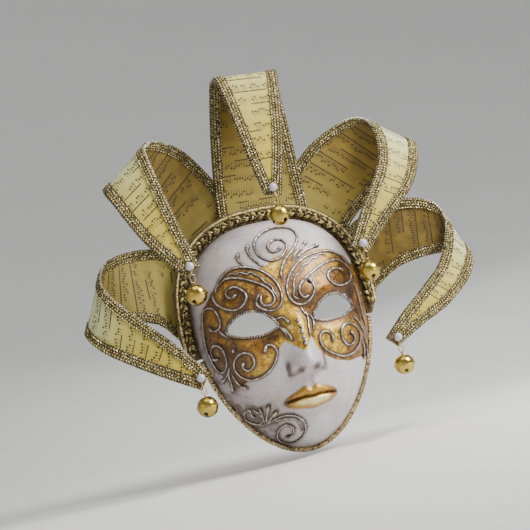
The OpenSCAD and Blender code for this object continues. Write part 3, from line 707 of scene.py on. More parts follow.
def thread_group():
    """Metal thread: painted shade in the grooves and a painted highlight on the crests, with stray dark
    stitches and painted glints.
    """
    def build(r, source, result):
        stitch = r.cells(source["Vector"], 0.0014, output="Color")
        shade = r.split(stitch)[0]
        glint = r.ease(shade, 0.8, 0.97)
        dark = r.ease(shade, 0.36, 0.08)
        high = r.ease(source["Crest"], 0.32, 0.9)
        high = r.math("ADD", high, r.math("MULTIPLY", r.math("SUBTRACT", shade, 0.5), 0.45), clamp=True)
        body = r.mix(high, source["Groove"], source["Thread"])
        body = r.mix(r.math("MULTIPLY", glint, r.ease(source["Crest"], 0.3, 0.9)), body, source["Glint"])
        body = r.mix(r.times(dark, 0.85), body, source["Groove"])
        r.feed(result["Colour"], body)
        r.feed(result["Height"], r.math("ADD", r.math("MULTIPLY", shade, 0.5), source["Crest"]))
        r.feed(result["Roughness"], r.ease(shade, 0.0, 1.0, 0.52, 0.28))
    return new_group("Metal thread",
        [("Vector", "NodeSocketVector", None), ("Crest", "NodeSocketFloat", 1.0),
            ("Groove", "NodeSocketColor", (0.03, 0.02, 0.012, 1)),
            ("Thread", "NodeSocketColor", (0.46, 0.33, 0.15, 1)),
            ("Glint", "NodeSocketColor", (0.9, 0.86, 0.72, 1))],
        [("Colour", "NodeSocketColor"), ("Height", "NodeSocketFloat"), ("Roughness", "NodeSocketFloat")],
        build)


def new_finish(name, **sockets):
    """A material with its one shader, and the recipe that fills it."""
    if name in bpy.data.materials:
        return bpy.data.materials[name], None, None
    material = bpy.data.materials.new(name)
    material.use_nodes = True
    shader = material.node_tree.nodes["Principled BSDF"]
    recipe = Recipe(material.node_tree)
    for key, value in sockets.items():
        recipe.feed(shader.inputs[key.replace("_", " ")], value)
    return material, recipe, shader.inputs


def coat(obj, material, slot):
    obj.data.materials.clear()
    obj.data.materials.append(material)


def face_paint():
    material, r, out = new_finish("face paint", Coat_Roughness=0.18, Specular_IOR_Level=0.45)
    if r is None:
        return material
    c = colours()
    at = r.place()
    swirl = r.add("ShaderNodeTexNoise", {"Vector": at, "Scale": 90.0}).outputs["Color"]
    wobble = r.add("ShaderNodeMix", {0: 0.004, 4: at, 5: swirl}, data_type="VECTOR").outputs[1]
    patina = r.group(patina_group(), Vector=at)
    cloud = r.ease(r.noise(at, 0.045, 5.0), 0.34, 0.66)
    small = r.ease(r.noise(at, 0.0075, 5.0, 0.65), 0.34, 0.66)
    flake = r.ease(r.noise(wobble, 0.0028, 4.0, 0.7), 0.36, 0.64)
    gold_mark = r.math("MULTIPLY_ADD", r.math("SUBTRACT", small, 0.5), 0.35, r.mark("gold"))
    gold = r.ease(gold_mark, 0.40, 0.60)
    # A higher mark darkens the gold leaf: uneven gilding, with painted shade over the left eye and painted
    # highlights on the nose bridge and the upper right forehead.
    burnt = r.math("MULTIPLY_ADD", r.math("SUBTRACT", cloud, 0.5), 0.55, r.mark("burnt"))
    wash = r.mark("wash")
    lips = r.mark("lips")
    white = r.mix(cloud, tuple(c.porcelain), (0.60, 0.56, 0.62))
    white = r.mix(r.times(r.ease(flake, 0.55, 1.0), 0.3), white, (0.78, 0.76, 0.79))
    white = r.mix(r.times(patina["Blotch"], 0.4), white, (0.50, 0.41, 0.33))
    crack = r.ease(r.cells(wobble, 0.0075, "DISTANCE_TO_EDGE"), 0.06, 0.0)
    hair = r.ease(r.cells(wobble, 0.0032, "DISTANCE_TO_EDGE"), 0.08, 0.0)
    broken = r.ease(r.noise(at, 0.016, 2.0), 0.45, 0.62)
    crackle = r.times(r.math("ADD", r.times(crack, 0.7), r.times(hair, 0.45), clamp=True), broken)
    white = r.mix(r.times(crackle, 0.35), white, (0.24, 0.18, 0.13))
    white = r.mix(r.times(patina["Speck"], 0.35), white, (0.30, 0.23, 0.16))
    bright = r.math("MULTIPLY_ADD", flake, 0.30, r.math("SUBTRACT", 0.27, burnt))
    bright = r.math("MULTIPLY_ADD", small, 0.52, bright)
    leaf = r.ramp(bright, [(0.02, (0.05, 0.018, 0.003)), (0.2, (0.15, 0.066, 0.004)),
        (0.4, (0.31, 0.165, 0.006)), (0.6, tuple(c.leaf)), (0.8, (0.78, 0.57, 0.06)),
        (0.98, (0.92, 0.86, 0.38))])
    ember = r.ease(r.noise(at, 0.012, 4.0, 0.6), 0.48, 0.66)
    leaf = r.mix(r.times(ember, 0.55), leaf, (0.44, 0.17, 0.003))
    leaf = r.mix(r.times(patina["Speck"], 0.5), leaf, (0.10, 0.035, 0.006))
    # Lip colour runs from dark brown for painted shade to cream for the painted highlight.
    lip = r.ramp(r.math("MULTIPLY_ADD", small, 0.22, r.mark("lip tone")), [(0.05, (0.12, 0.05, 0.010)),
        (0.3, (0.32, 0.15, 0.014)), (0.65, (0.58, 0.36, 0.035)), (1.0, (0.90, 0.80, 0.36))])
    paint = r.mix(gold, white, leaf)
    paint = r.mix(lips, paint, lip)
    # The wash mark brings both the brown wash and the painted shade of the hollows and of the left side,
    # mixed in here as brown.
    stain_and_shade = r.math("MULTIPLY", wash, r.math("MULTIPLY_ADD", small, 0.45, 0.6), clamp=True)
    ink = r.mix(r.ease(stain_and_shade, 0.1, 0.6), (0.36, 0.20, 0.09), tuple(c.wash_and_shade_brown))
    paint = r.mix(r.times(stain_and_shade, 0.92), paint, ink)
    pulp = r.mix(r.noise(at, 0.004, 5.0), (0.30, 0.26, 0.22), (0.50, 0.46, 0.40))
    inside = r.mark("inside")
    r.feed(out["Base Color"], r.mix(inside, paint, pulp))
    metal = r.math("MULTIPLY", r.math("MAXIMUM", gold, lips), r.math("SUBTRACT", 0.55, r.times(stain_and_shade, 0.5)))
    r.feed(out["Coat Weight"], r.ease(gold, 0.0, 1.0, 0.35, 0.12))
    r.feed(out["Metallic"], r.math("MULTIPLY", metal, r.math("SUBTRACT", 1.0, inside), clamp=True))
    rough = r.math("MULTIPLY_ADD", small, 0.22, 0.24)
    r.feed(out["Roughness"], r.math("MULTIPLY_ADD", inside, 0.4, rough, clamp=True))
    skin = r.math("MULTIPLY_ADD", small, 0.3, r.math("MULTIPLY", flake, 0.35))
    skin = r.math("SUBTRACT", skin, r.math("MULTIPLY", crackle, 0.6))
    r.feed(out["Normal"], r.relief(skin, 0.0006, 0.6))
    return material


def scroll_paint():
    material, r, out = new_finish("scroll silver", Coat_Weight=0.2, Coat_Roughness=0.2)
    if r is None:
        return material
    at = r.place()
    patina = r.group(patina_group(), Vector=at)
    crest = r.mark("crest")
    # Each raised line and bead is painted bright on top as a highlight, and dark towards its foot, as
    # antiquing in the hollow and as painted shade where it meets the skin.
    tone = r.math("ADD", crest, r.math("MULTIPLY", r.math("SUBTRACT", r.noise(at, 0.004), 0.5), 0.5))
    paint = r.ramp(tone, [(0.54, (0.025, 0.014, 0.008)), (0.80, (0.12, 0.08, 0.058)),
        (0.94, tuple(colours().silver)), (1.0, (0.82, 0.78, 0.76))])
    paint = r.mix(r.times(patina["Blotch"], 0.35), paint, (0.42, 0.28, 0.14))
    r.feed(out["Base Color"], paint)
    r.feed(out["Metallic"], r.ease(tone, 0.4, 0.9, 0.2, 0.75))
    r.feed(out["Roughness"], r.math("ADD", r.math("MULTIPLY", patina["Grain"], 0.3), 0.18))
    r.feed(out["Normal"], r.relief(r.noise(at, 0.0012, 3.0), 0.0003, 0.5))
    return material


# Metal thread whose groove colour is painted shade and whose glint colour paints glints.
def thread_finish(name, groove, thread, glint):
    material, r, out = new_finish(name, Metallic=0.75, Specular_IOR_Level=0.5)
    if r is None:
        return material
    at = r.place()
    result = r.group(thread_group(), Vector=at, Crest=r.mark("crest"), Groove=groove, Thread=thread,
        Glint=glint)
    patina = r.group(patina_group(), Vector=at)
    r.feed(out["Base Color"], r.mix(r.times(patina["Blotch"], 0.25), result["Colour"], groove))
    r.feed(out["Roughness"], result["Roughness"])
    r.feed(out["Normal"], r.relief(result["Height"], 0.0005, 0.8))
    return material


def chance_of(r, x, y, z):
    """A steady random number from 0 to 1 for each set of whole numbers, and a second one."""
    dice = r.add("ShaderNodeTexWhiteNoise", {"Vector": r.merge(x, y, z)}, noise_dimensions="3D").outputs
    return dice["Value"], r.split(dice["Color"])[1]


# The printed music, in metres: between two lines of a stave, and from one note's place to the next.
STAVE_SPACE = 0.00115
NOTE_STEP = 0.0026
BEAM_SPACES = 7.4  # height of a beam, in spaces above the stave's foot
NO_NOTE, NO_BEAM, NO_MUSIC = 0.16, 0.3, 0.16  # shares left blank


def printed_music(r, across, along, seed):
    """How dark the print is: five lines to a stave, with made-up notes, stems and beams."""
    pitch = sizes().stave_pitch
    space = STAVE_SPACE
    step = NOTE_STEP
    row = r.math("FLOOR", r.math("DIVIDE", along, pitch))
    up = r.math("MODULO", along, pitch)
    near = r.math("PINGPONG", up, space / 2)
    on_stave = r.math("MULTIPLY", r.ease(up, 5.4 * space, 5.2 * space), r.ease(up, 0.3 * space, 0.6 * space))
    lines = r.math("MULTIPLY", r.ease(near, 0.00018, 0.00005), on_stave)
    column = r.math("FLOOR", r.math("DIVIDE", across, step))
    over = r.math("SUBTRACT", r.math("MODULO", across, step), 0.45 * step)
    chance, other = chance_of(r, column, row, seed)
    here = r.math("GREATER_THAN", chance, NO_NOTE)
    spot = r.math("MULTIPLY", r.math("FLOOR", r.math("MULTIPLY", other, 7.0)), space / 2)
    rise = r.math("SUBTRACT", up, r.math("ADD", spot, 1.2 * space))
    gap = r.math("SQRT", r.math("ADD", r.math("POWER", over, 2.0), r.math("POWER", rise, 2.0)))
    head = r.math("MULTIPLY", r.ease(gap, 0.00115, 0.00085), here)
    beam_at = BEAM_SPACES * space
    stem = r.ease(r.math("ABSOLUTE", r.math("SUBTRACT", over, 0.00055)), 0.00036, 0.0002)
    standing = r.math("MULTIPLY", r.math("GREATER_THAN", rise, 0.0), r.math("LESS_THAN", up, beam_at))
    stem = r.math("MULTIPLY", r.math("MULTIPLY", stem, here), standing)
    joined, _ = chance_of(r, r.math("FLOOR", r.math("DIVIDE", column, 4.0)), row, seed + 5.0)
    beam = r.ease(r.math("ABSOLUTE", r.math("SUBTRACT", up, beam_at)), 0.0007, 0.0005)
    beam = r.math("MULTIPLY", beam, r.math("GREATER_THAN", joined, NO_BEAM))
    played, _ = chance_of(r, r.math("FLOOR", r.math("DIVIDE", column, 7.0)), row, seed + 9.0)
    ink = r.math("MAXIMUM", head, r.math("MAXIMUM", r.times(stem, 0.9), beam))
    ink = r.math("MULTIPLY", ink, r.math("GREATER_THAN", played, NO_MUSIC))
    return r.math("MAXIMUM", r.times(lines, 0.5), ink)


def music_paper(name, pale, warm, fold, seed):
    """Paper printed with staves that run across the strip."""
    material, r, out = new_finish(name, Specular_IOR_Level=0.3)
    if r is None:
        return material
    at = r.place()
    across, along, _ = r.split(r.uv())
    patina = r.group(patina_group(), Vector=at)
    shade = r.math("MULTIPLY", r.math("SUBTRACT", r.noise(at, 0.03), 0.5), 0.5)
    # Tone mixes from the first colour to the second; on the lining the first is the darker ochre, so a
    # point's painted shade lowers it.
    paper = r.mix(r.math("ADD", r.mark("tone"), shade, clamp=True), pale, warm)
    # The curl colour is mixed in towards the middle of each curl; on the lining it is a darker ochre and also
    # paints the shade of the points in shade.
    paper = r.mix(r.ease(r.mark("fold"), 0.0, 1.0, 0.0, 0.8), paper, fold)
    paper = r.mix(r.times(patina["Blotch"], 0.25), paper, (0.40, 0.27, 0.05))
    paper = r.mix(r.times(patina["Speck"], 0.18), paper, (0.25, 0.16, 0.05))
    ink = printed_music(r, across, along, seed)
    worn = r.ease(r.noise(at, 0.006, 3.0), 0.25, 0.5, 0.7, 0.97)
    r.feed(out["Base Color"], r.mix(r.math("MULTIPLY", ink, worn, clamp=True), paper, (0.04, 0.028, 0.015)))
    r.feed(out["Roughness"], r.math("ADD", r.math("MULTIPLY", patina["Grain"], 0.2), 0.5))
    fibre = r.math("ADD", r.math("MULTIPLY", r.noise(at, 0.0015, 3.0), 0.25), r.noise(at, 0.012, 2.0))
    r.feed(out["Normal"], r.relief(fibre, 0.0008, 0.6))
    return material


def metal_finish(name, bright, dull, roughness, blemish, metallic=1.0):
    material, r, out = new_finish(name, Metallic=metallic)
    if r is None:
        return material
    at = r.place()
    patina = r.group(patina_group(), Vector=at)
    tone = r.mix(r.times(patina["Blotch"], blemish), bright, dull)
    tone = r.mix(r.times(patina["Speck"], blemish * 0.6), tone, tuple(0.4 * v for v in dull))
    r.feed(out["Base Color"], tone)
    r.feed(out["Roughness"], r.ease(r.noise(at, 0.006, 4.0), 0.3, 0.75, roughness, roughness + 0.18))
    r.feed(out["Normal"], r.relief(patina["Grain"], 0.0002, 0.25))
    return material


def pearl_finish():
    material, r, out = new_finish("pearl lustre", Coat_Weight=0.7, Coat_Roughness=0.08, Subsurface_Weight=0.1,
        Subsurface_Scale=0.002)
    if r is None:
        return material
    at = r.place()
    swirl = r.noise(at, 0.006, 2.0)
    tone = r.ramp(swirl, [(0.3, (0.60, 0.50, 0.55)), (0.5, tuple(colours().pearl)),
        (0.7, (0.50, 0.54, 0.62))])
    r.feed(out["Base Color"], tone)
    r.feed(out["Roughness"], r.ease(r.noise(at, 0.002, 2.0), 0.3, 0.7, 0.2, 0.32))
    r.feed(out["Normal"], r.relief(swirl, 0.0003, 0.3))
    return material


def fibre_finish(name, light, dark, roughness, size):
    material, r, out = new_finish(name)
    if r is None:
        return material
    at = r.place()
    patina = r.group(patina_group(), Vector=at)
    fibre = r.noise(at, size, 6.0, 0.65)
    tone = r.mix(r.ease(fibre, 0.35, 0.65), dark, light)
    r.feed(out["Base Color"], r.mix(r.times(patina["Speck"], 0.4), tone, dark))
    r.feed(out["Roughness"], r.math("ADD", r.math("MULTIPLY", fibre, 0.2), roughness - 0.1))
    r.feed(out["Normal"], r.relief(fibre, 0.0008, 0.6))
    return material


# ---- the face ----
def scroll_lines():
    return [smooth_line(pts, 1.0) for group in SCROLLS.values() for pts, _, _ in group]


def inside_outline(points, outline):
    """True for each place inside a closed outline, and its distance from the line."""
    x, z = points[:, 0], points[:, 1]
    within = np.zeros(len(x), bool)
    nearest = np.full(len(x), 1e9)
    for (x0, z0), (x1, z1) in zip(outline, np.roll(outline, -1, 0)):
        crosses = (z0 > z) != (z1 > z)
        span = z1 - z0 if z1 != z0 else 1e-9
        within ^= crosses & (x < (x1 - x0) * (z - z0) / span + x0)
        d = np.array([x1 - x0, z1 - z0])
        t = np.clip(((x - x0) * d[0] + (z - z0) * d[1]) / (d @ d), 0, 1)
        nearest = np.minimum(nearest, np.hypot(x - x0 - t * d[0], z - z0 - t * d[1]))
    return within, nearest


class MASK_OT_face(bpy.types.Operator):
    """Makes the papier-mache face with its eye openings and its painted zones"""
    bl_idname = "mask.face"
    bl_label = "Face"

    def execute(self, context):
        cols, rows = 168, 212
        half_w, half_h, _ = face_halves()
        wall = sizes().shell_wall

        def place(i, j):
            u = 2 * i / cols - 1
            v = 2 * j / rows - 1
            x = u * np.sqrt(1 - v * v / 2)
            y = v * np.sqrt(1 - u * u / 2)
            s = np.maximum(np.minimum(1, np.hypot(x, y)), 1e-9)
            q = np.sin(RIM_A * s) / RIM_SHARE * fullness(x / s, y / s) / s
            px = x * q * half_w * half_width(y * q)
            pz = FACE_ZC + half_h * y * q
            return np.stack([px, np.where(s > 0.9999, 0, -depth(px, pz)), pz], 1)

        face = lay_grid("face_shell_paint", cols, rows, place)
        apply_modifier(face, "SOLIDIFY", thickness=wall, offset=-1, use_even_offset=True)
        for side in (-1, 1):
            cutter = self.eye_cutter(side)
            apply_modifier(face, "BOOLEAN", object=cutter, operation="DIFFERENCE", solver="EXACT")
            bpy.data.objects.remove(cutter)
        self.paint_marks(face)
        smooth(face, 50)
        coat(face, face_paint(), "papier_mache")
        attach(face, "root")
        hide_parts("face_shell")
        return {"FINISHED"}

    def eye_cutter(self, side):
        outline = eye_outline(side, 0)
        clear_selection()
        bpy.ops.mesh.primitive_circle_add(vertices=len(outline), radius=1, fill_type="NGON")
        cutter = bpy.context.object
        for vertex, (x, z) in zip(cutter.data.vertices, outline):
            vertex.co = (x * MM, 0.01, z * MM)
        bpy.ops.object.mode_set(mode="EDIT")
        bpy.ops.mesh.select_all(action="SELECT")
        bpy.ops.mesh.extrude_region_move(TRANSFORM_OT_translate={"value": (0, -0.1, 0)})
        bpy.ops.mesh.select_all(action="SELECT")
        bpy.ops.mesh.normals_make_consistent(inside=False)
        bpy.ops.object.mode_set(mode="OBJECT")
        return cutter

    def paint_marks(self, face):
        mesh = face.data
        co = np.empty(len(mesh.vertices) * 3)
        mesh.vertices.foreach_get("co", co)
        co = co.reshape(-1, 3)
        co[:, 1] = np.minimum(co[:, 1], 0)
        mesh.vertices.foreach_set("co", co.ravel())
        x, z = co[:, 0] / MM, co[:, 2] / MM
        front = -co[:, 1] / MM > depth(x, z) - 0.6 * sizes().shell_wall / MM
        edge = rho(x, z)
        flat = np.stack([x, z], 1)
        within, off = inside_outline(flat, smooth_line(GOLD_EDGE + GOLD_EDGE[:1], 3.0)[:-1])
        soft = 3.0 + 12.0 * bump((x - 4) / 16) * ease(38, 58, z)
        gold = 0.5 + np.clip(np.where(within, off, -off) / soft, -0.5, 0.5)
        to_line = np.full(len(x), 1e9)
        for line in scroll_lines():
            near = (np.abs(x - line[:, 0].mean()) < 50) & (np.abs(z - line[:, 1].mean()) < 50)
            d = np.hypot(x[near, None] - line[None, :, 0], z[near, None] - line[None, :, 1]).min(1)
            to_line[near] = np.minimum(to_line[near], d)
        to_bead = np.min([np.hypot(x - q[0], z - q[1]) for q in NOSE_BEADS], 0)
        eyes = np.minimum(*[np.hypot(x[:, None] - e[None, :, 0], z[:, None] - e[None, :, 1]).min(1)
            for e in (eye_outline(-1, 1, 48), eye_outline(1, 1, 48))])
        a = np.abs(x)
        line, top, low, _ = lip_bounds(x)
        past = np.where(z > line, (z - line) - top, (line - z) - low)
        lips = ease(0.9, -0.9, past) * ease(28, 25.5, a)
        # Painted light on the lips: the upper lip darker, the lower lip brighter but darker at its foot, both
        # darkening into the corners.
        upper = 0.38 * ease(0, 3, z - line) - 0.12 * ease(0.5, 1, (z - line) / np.maximum(top, 1))
        lower = 0.85 * ease(-0.3, 3, line - z) - 0.5 * ease(0.4, 1, (line - z) / np.maximum(low, 1))
        lip_light_and_shade = np.where(z > line, upper, lower) * ease(28, 12, a)
        # A painted highlight on the lower lip, right of the middle.
        lip_light_and_shade = lip_light_and_shade + 0.2 * bump((x - 7) / 8) * bump((z - line + 4) / 4)
        # Painted shade in the corners of the mouth.
        corner = bump((a - 24) / 3.5) * bump((z - line) / 2.5)
        # Brown wash beside the raised lines, beads and eye openings, with painted shade in the hollows of the
        # nose, mouth and chin.
        wash = spots(SHADE_SPOTS, a, z) + spots(LEFT_CHIN_SHADE, x, z)
        wash = wash + 1.35 * bump(to_line / 1.8) + 0.12 * bump(to_line / 5)
        wash = wash + 0.22 * np.clip(gold, 0, 1) * bump(to_line / 4)
        wash = wash + 0.8 * bump(eyes / 2.6) + 0.5 * bump(to_bead / 2.5)
        # Painted shade along the mouth line and in its corners.
        wash = wash + 0.75 * bump((z - line) / 0.9) * ease(28, 22, a) + 0.6 * corner
        wash = wash + 0.35 * ease(0.93, 1.0, edge)
        # Painted shade down the left side of the face, strongest on the lower left cheek.
        wash = wash + 0.30 * ease(-8, -66, x) + 0.40 * ease(-34, -72, x) * ease(4, -46, z)
        # Darker gold round the eyes, at the temples, towards the rim, beside the lines and to the right, with
        # the patches' painted shade and painted highlights.
        burnt = 0.30 + spots(BURNT_SPOTS, a, z) + spots(BURNT_AND_LIGHT_PATCHES, x, z) + 0.2 * bump(eyes / 6)
        burnt = burnt + 0.12 * ease(0.8, 1.0, edge) + 0.1 * bump(to_line / 3) + 0.10 * ease(4, 60, x)
        marks = {"gold": gold, "wash": wash, "lips": lips, "lip tone": lip_light_and_shade, "burnt": burnt}
        for key, values in marks.items():
            layer = mesh.attributes.new(key, "FLOAT", "POINT")
            layer.data.foreach_set("value", np.clip(np.where(front, values, 0), 0, 1.4))
        layer = mesh.attributes.new("inside", "FLOAT", "POINT")
        layer.data.foreach_set("value", np.where(front, 0.0, 1.0))
        mesh.update()


def face_tube(pts, width, start, end, sides=8):
    """A raised line on the face, with a bead at each end that has one."""
    line = smooth_line(pts, 0.8)
    run = run_of(line)
    left, right = run, run[-1] - run
    r = width / 2 * (0.82 + 0.18 * np.sin(run * 0.5) ** 2)
    for gone, bead in ((left, start), (right, end)):
        reach = max(2.2 * bead, 3.0)
        if bead >= 1.0:
            head = bead * np.sqrt(np.clip(1 - ((gone - bead) / (1.15 * bead)) ** 2, 0, 1))
            neck = bead * bump((gone - bead) / (1.4 * bead)) * 0.8
            r = np.maximum(np.where(gone < bead, 0, r), np.where(gone < bead, head, np.maximum(head, neck)))
        else:
            r = r * (bead / (width / 2) + (1 - bead / (width / 2)) * ease(0, reach * 1.5, gone))
    r = np.maximum(r, 0.25)
    n = skin_normal(line[:, 0], line[:, 1])
    at = skin_place(line[:, 0], line[:, 1]) + n * (r * 0.45)[:, None]
    return tube("line", at, n, r, sides)


class MASK_OT_scrollwork(bpy.types.Operator):
    """Makes the raised scrolls, leaves and beads on the face"""
    bl_idname = "mask.scrollwork"
    bl_label = "Scrollwork"

    def execute(self, context):
        width = sizes().scroll_line / MM
        for name, group in SCROLLS.items():
            lines = [face_tube(pts, width * (0.75 if max(start, end) < 0.55 else 1.0), start, end)
                for pts, start, end in group]
            self.finish_piece(join(name + "_lines", lines), name)
        beads = []
        for x, z, r in NOSE_BEADS:
            clear_selection()
            spot = np.array([[float(x)], [float(z)]])
            at = (skin_place(*spot) + skin_normal(*spot) * r * 0.45)[0]
            bpy.ops.mesh.primitive_uv_sphere_add(segments=24, ring_count=14, radius=r * MM,
                location=tuple(at * MM))
            bead = settled()
            crest = np.array([0.5 + 0.5 * -(v.co.y / MM - at[1]) / r for v in bead.data.vertices])
            layer = bead.data.attributes.new("crest", "FLOAT", "POINT")
            layer.data.foreach_set("value", np.clip(crest, 0, 1))
            beads.append(bead)
        self.finish_piece(join("relief_nose_beads_set", beads), "relief_nose_beads")
        return {"FINISHED"}

    def finish_piece(self, piece, node):
        smooth(piece)
        coat(piece, scroll_paint(), "raised_slip")
        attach(piece, "root")
        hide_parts(node)


class MASK_OT_eye_rims(bpy.types.Operator):
    """Makes the beaded cord round each eye opening"""
    bl_idname = "mask.eye_rims"
    bl_label = "Eye Rims"

    def execute(self, context):
        radius = sizes().rim_cord / MM / 2
        rims = []
        for side in (-1, 1):
            outline = even_line(eye_outline(side, radius * 0.7), 0.55, closed=True)
            if side < 0:
                outline = outline[::-1]
            n = skin_normal(outline[:, 0], outline[:, 1])
            at = skin_place(outline[:, 0], outline[:, 1]) + n * radius * 0.35
            rims.append(rope("rim", at, n, radius * 1.08, pitch=5.2, closed=True, plump=0.62))
        piece = join("eye_rims_cord", rims)
        coat(piece, scroll_paint(), "raised_slip")
        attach(piece, "root")
        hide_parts("eye_rims")
        return {"FINISHED"}


# ---- crown and jaw ----
CROWN_FROM = 1.0
CROWN_TO = 183.0


def crown_line(off, y, cut, step=0.7):
    a = np.linspace(CROWN_FROM + cut, CROWN_TO - cut, 600)
    flat = rim_off(a, off)
    return even_line(np.stack([flat[:, 0], np.full(len(a), y), flat[:, 1]], 1), step)


def facing_front(line):
    return np.tile([0.0, -1.0, 0.0], (len(line), 1))


class MASK_OT_crown(bpy.types.Operator):
    """Makes the plait, the bright twisted cord and the fine dark edging round the crown"""
    bl_idname = "mask.crown"
    bl_label = "Crown Braid"

    def execute(self, context):
        plait = self.plait()
        gold = thread_finish("plait thread", (0.065, 0.042, 0.018), tuple(colours().thread),
            (0.90, 0.82, 0.56))
        coat(plait, gold, "plaited_gold_braid")
        line = crown_line(12.0, -1.5, 5.5)
        cord = rope("crown_cord_twist", line, facing_front(line), 1.55, strands=3, pitch=7.5, sides=8)
        bright = thread_finish("bright cord", (0.12, 0.075, 0.025), (0.76, 0.60, 0.24), (0.97, 0.90, 0.62))
        coat(cord, bright, "bright_gold_cord")
        line = crown_line(1.1, -1.0, 0.0, 0.6)
        edging = rope("crown_edging_twist", line, facing_front(line), 1.0, strands=2, pitch=4.0, sides=6)
        dark = thread_finish("dark edging", (0.03, 0.018, 0.01), (0.26, 0.17, 0.08), (0.60, 0.46, 0.24))
        coat(edging, dark, "dark_gold_edging")
        for piece, node in ((plait, "crown_braid"), (cord, "crown_cord"), (edging, "crown_edging")):
            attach(piece, "root")
            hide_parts(node)
        return {"FINISHED"}

    def plait(self):
        """Three strands that cross over and under each other, each twisted from threads."""
        mid = crown_line(6.3, -2.3, 2.5, 0.8)
        b, n = side_vectors(mid, facing_front(mid), False)
        run = run_of(mid)
        ends = np.minimum(1, np.minimum(run, run[-1] - run) / 6)
        strands = []
        for k in range(3):
            a = 2 * np.pi * (run / 15.5 + k / 3)
            sway = 2.5 * np.sin(a) * ends
            lift = 1.25 * np.sin(2 * a) * ends
            path = mid + sway[:, None] * b + lift[:, None] * n

            def crest(angle, ring, lift=lift):
                high = 0.5 + 0.5 * np.sin(angle)
                # Strands marked higher where they pass over and lower where they pass under, which the thread
                # colour turns into painted light and shade.
                return 0.06 + 0.74 * high + 0.18 * np.cos(6 * angle) + 0.2 * lift[ring] / 1.25

            strands.append(tube("strand", path, facing_front(path), 1.55 + 0.15 * ends, sides=18, squash=0.82,
                lobes=6, lobe=0.12, turn=run * 0.8, crest=crest))
        return smooth(join("crown_braid_plait", strands))


class MASK_OT_jaw(bpy.types.Operator):
    """Makes the twisted braid along the jaw"""
    bl_idname = "mask.jaw"
    bl_label = "Jaw Braid"

    def execute(self, context):
        a = np.linspace(CROWN_TO + 1.5, 360 + CROWN_FROM - 1.5, 500)
        flat = rim_off(a, 1.6)
        line = even_line(np.stack([flat[:, 0], np.full(len(a), -2.5), flat[:, 1]], 1), 0.7)
        piece = rope("jaw_braid_twist", line, facing_front(line), 2.5, strands=3, pitch=9.0, sides=10)
        coat(piece, thread_finish("jaw thread", (0.05, 0.032, 0.016), (0.54, 0.41, 0.19), (0.88, 0.80, 0.58)),
            "jaw_gold_braid")
        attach(piece, "root")
        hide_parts("jaw_braid")
        return {"FINISHED"}


# ---- the curled points ----
def calm_slope(a, b):
    return 0.0 if a * b <= 0 else 2 * a * b / (a + b)


def calm(v, i, t):
    m = len(v)
    d = v[i + 1] - v[i]
    d0 = v[i] - v[i - 1] if i > 0 else d
    d1 = v[i + 2] - v[i + 1] if i < m - 2 else d
    m0, m1 = calm_slope(d0, d), calm_slope(d, d1)
    return v[i] + t * m0 + t * t * (3 * d - 2 * m0 - m1) + t ** 3 * (m0 + m1 - 2 * d)


class Strip:
    """One curled point: its edges, directions, widths and lining-side normals along its length."""

    def __init__(self, name):
        angle, layer, _, left, right = POINTS[name]
        s = sizes()
        self.card, self.paper = s.card / MM, s.paper / MM
        self.braid, self.trim = s.braid_width / MM, s.braid_height / MM
        trim_t = self.trim + self.paper + self.card / 2
        flat_y = 2.5 + trim_t * (1 + 2 * layer)
        rim = rim_at(np.array(float(angle)))
        a, b = self.edge(left, rim, flat_y), self.edge(right, rim, flat_y)
        c = (a + b) / 2
        run = run_of(c)
        count = int(run[-1] / 0.8)
        at = np.linspace(0, run[-1], count + 1)
        self.left, self.right = [np.stack([np.interp(at, run, v[:, k]) for k in range(3)], 1) for v in (a, b)]
        c = (self.left + self.right) / 2
        self.t = unit(np.vstack([c[1:], c[-1:]]) - np.vstack([c[:1], c[:-1]]))
        self.u = unit(self.right - self.left)
        self.w = np.linalg.norm(self.right - self.left, axis=1)
        n = np.cross(self.u, self.t)
        soft = np.vstack([n[:1], n[:1], n, n[-1:], n[-1:]])
        self.n = unit(sum(soft[k:k + len(n)] for k in range(5)))
        self.run = at
        self.band = np.minimum(self.braid, self.w / 2 - 0.4)

    def edge(self, rows, rim, flat_y):
        pts = [[rim[0] + x, flat_y if k < 2 else -y, rim[1] + z] for k, (x, y, z) in enumerate(rows)]
        pts = np.array(pts)
        out = [pts[0] + (pts[1] - pts[0]) * t for t in FINE_STEPS]
        for i in range(1, len(pts) - 1):
            for t in FINE_STEPS:
                p = catmull(pts, i, t)
                out.append(np.array([p[0], calm(pts[:, 1], i, t), p[2]]))
        return np.array(out + [pts[-1]])

    def at(self, s, h, j):
        """Places s millimetres in from the left edge and h above the card's middle."""
        return self.left[j] + s[:, None] * self.u[j] + h[:, None] * self.n[j]


# The papers and the folded braid, in millimetres.
RIPPLE = 0.35  # height of the papers' waves
BRAID_REACH = 8.5  # drawn width of the braid on each side
FOLD_REACH = 1.8  # how far the fold stands out past the edge
BARE_EDGE = 1.7  # half the plain run of braid that the edge cord lies on
STITCH_ROW = 2.75
STITCH_RUN = 2.8
STITCH_HEIGHT = 0.6


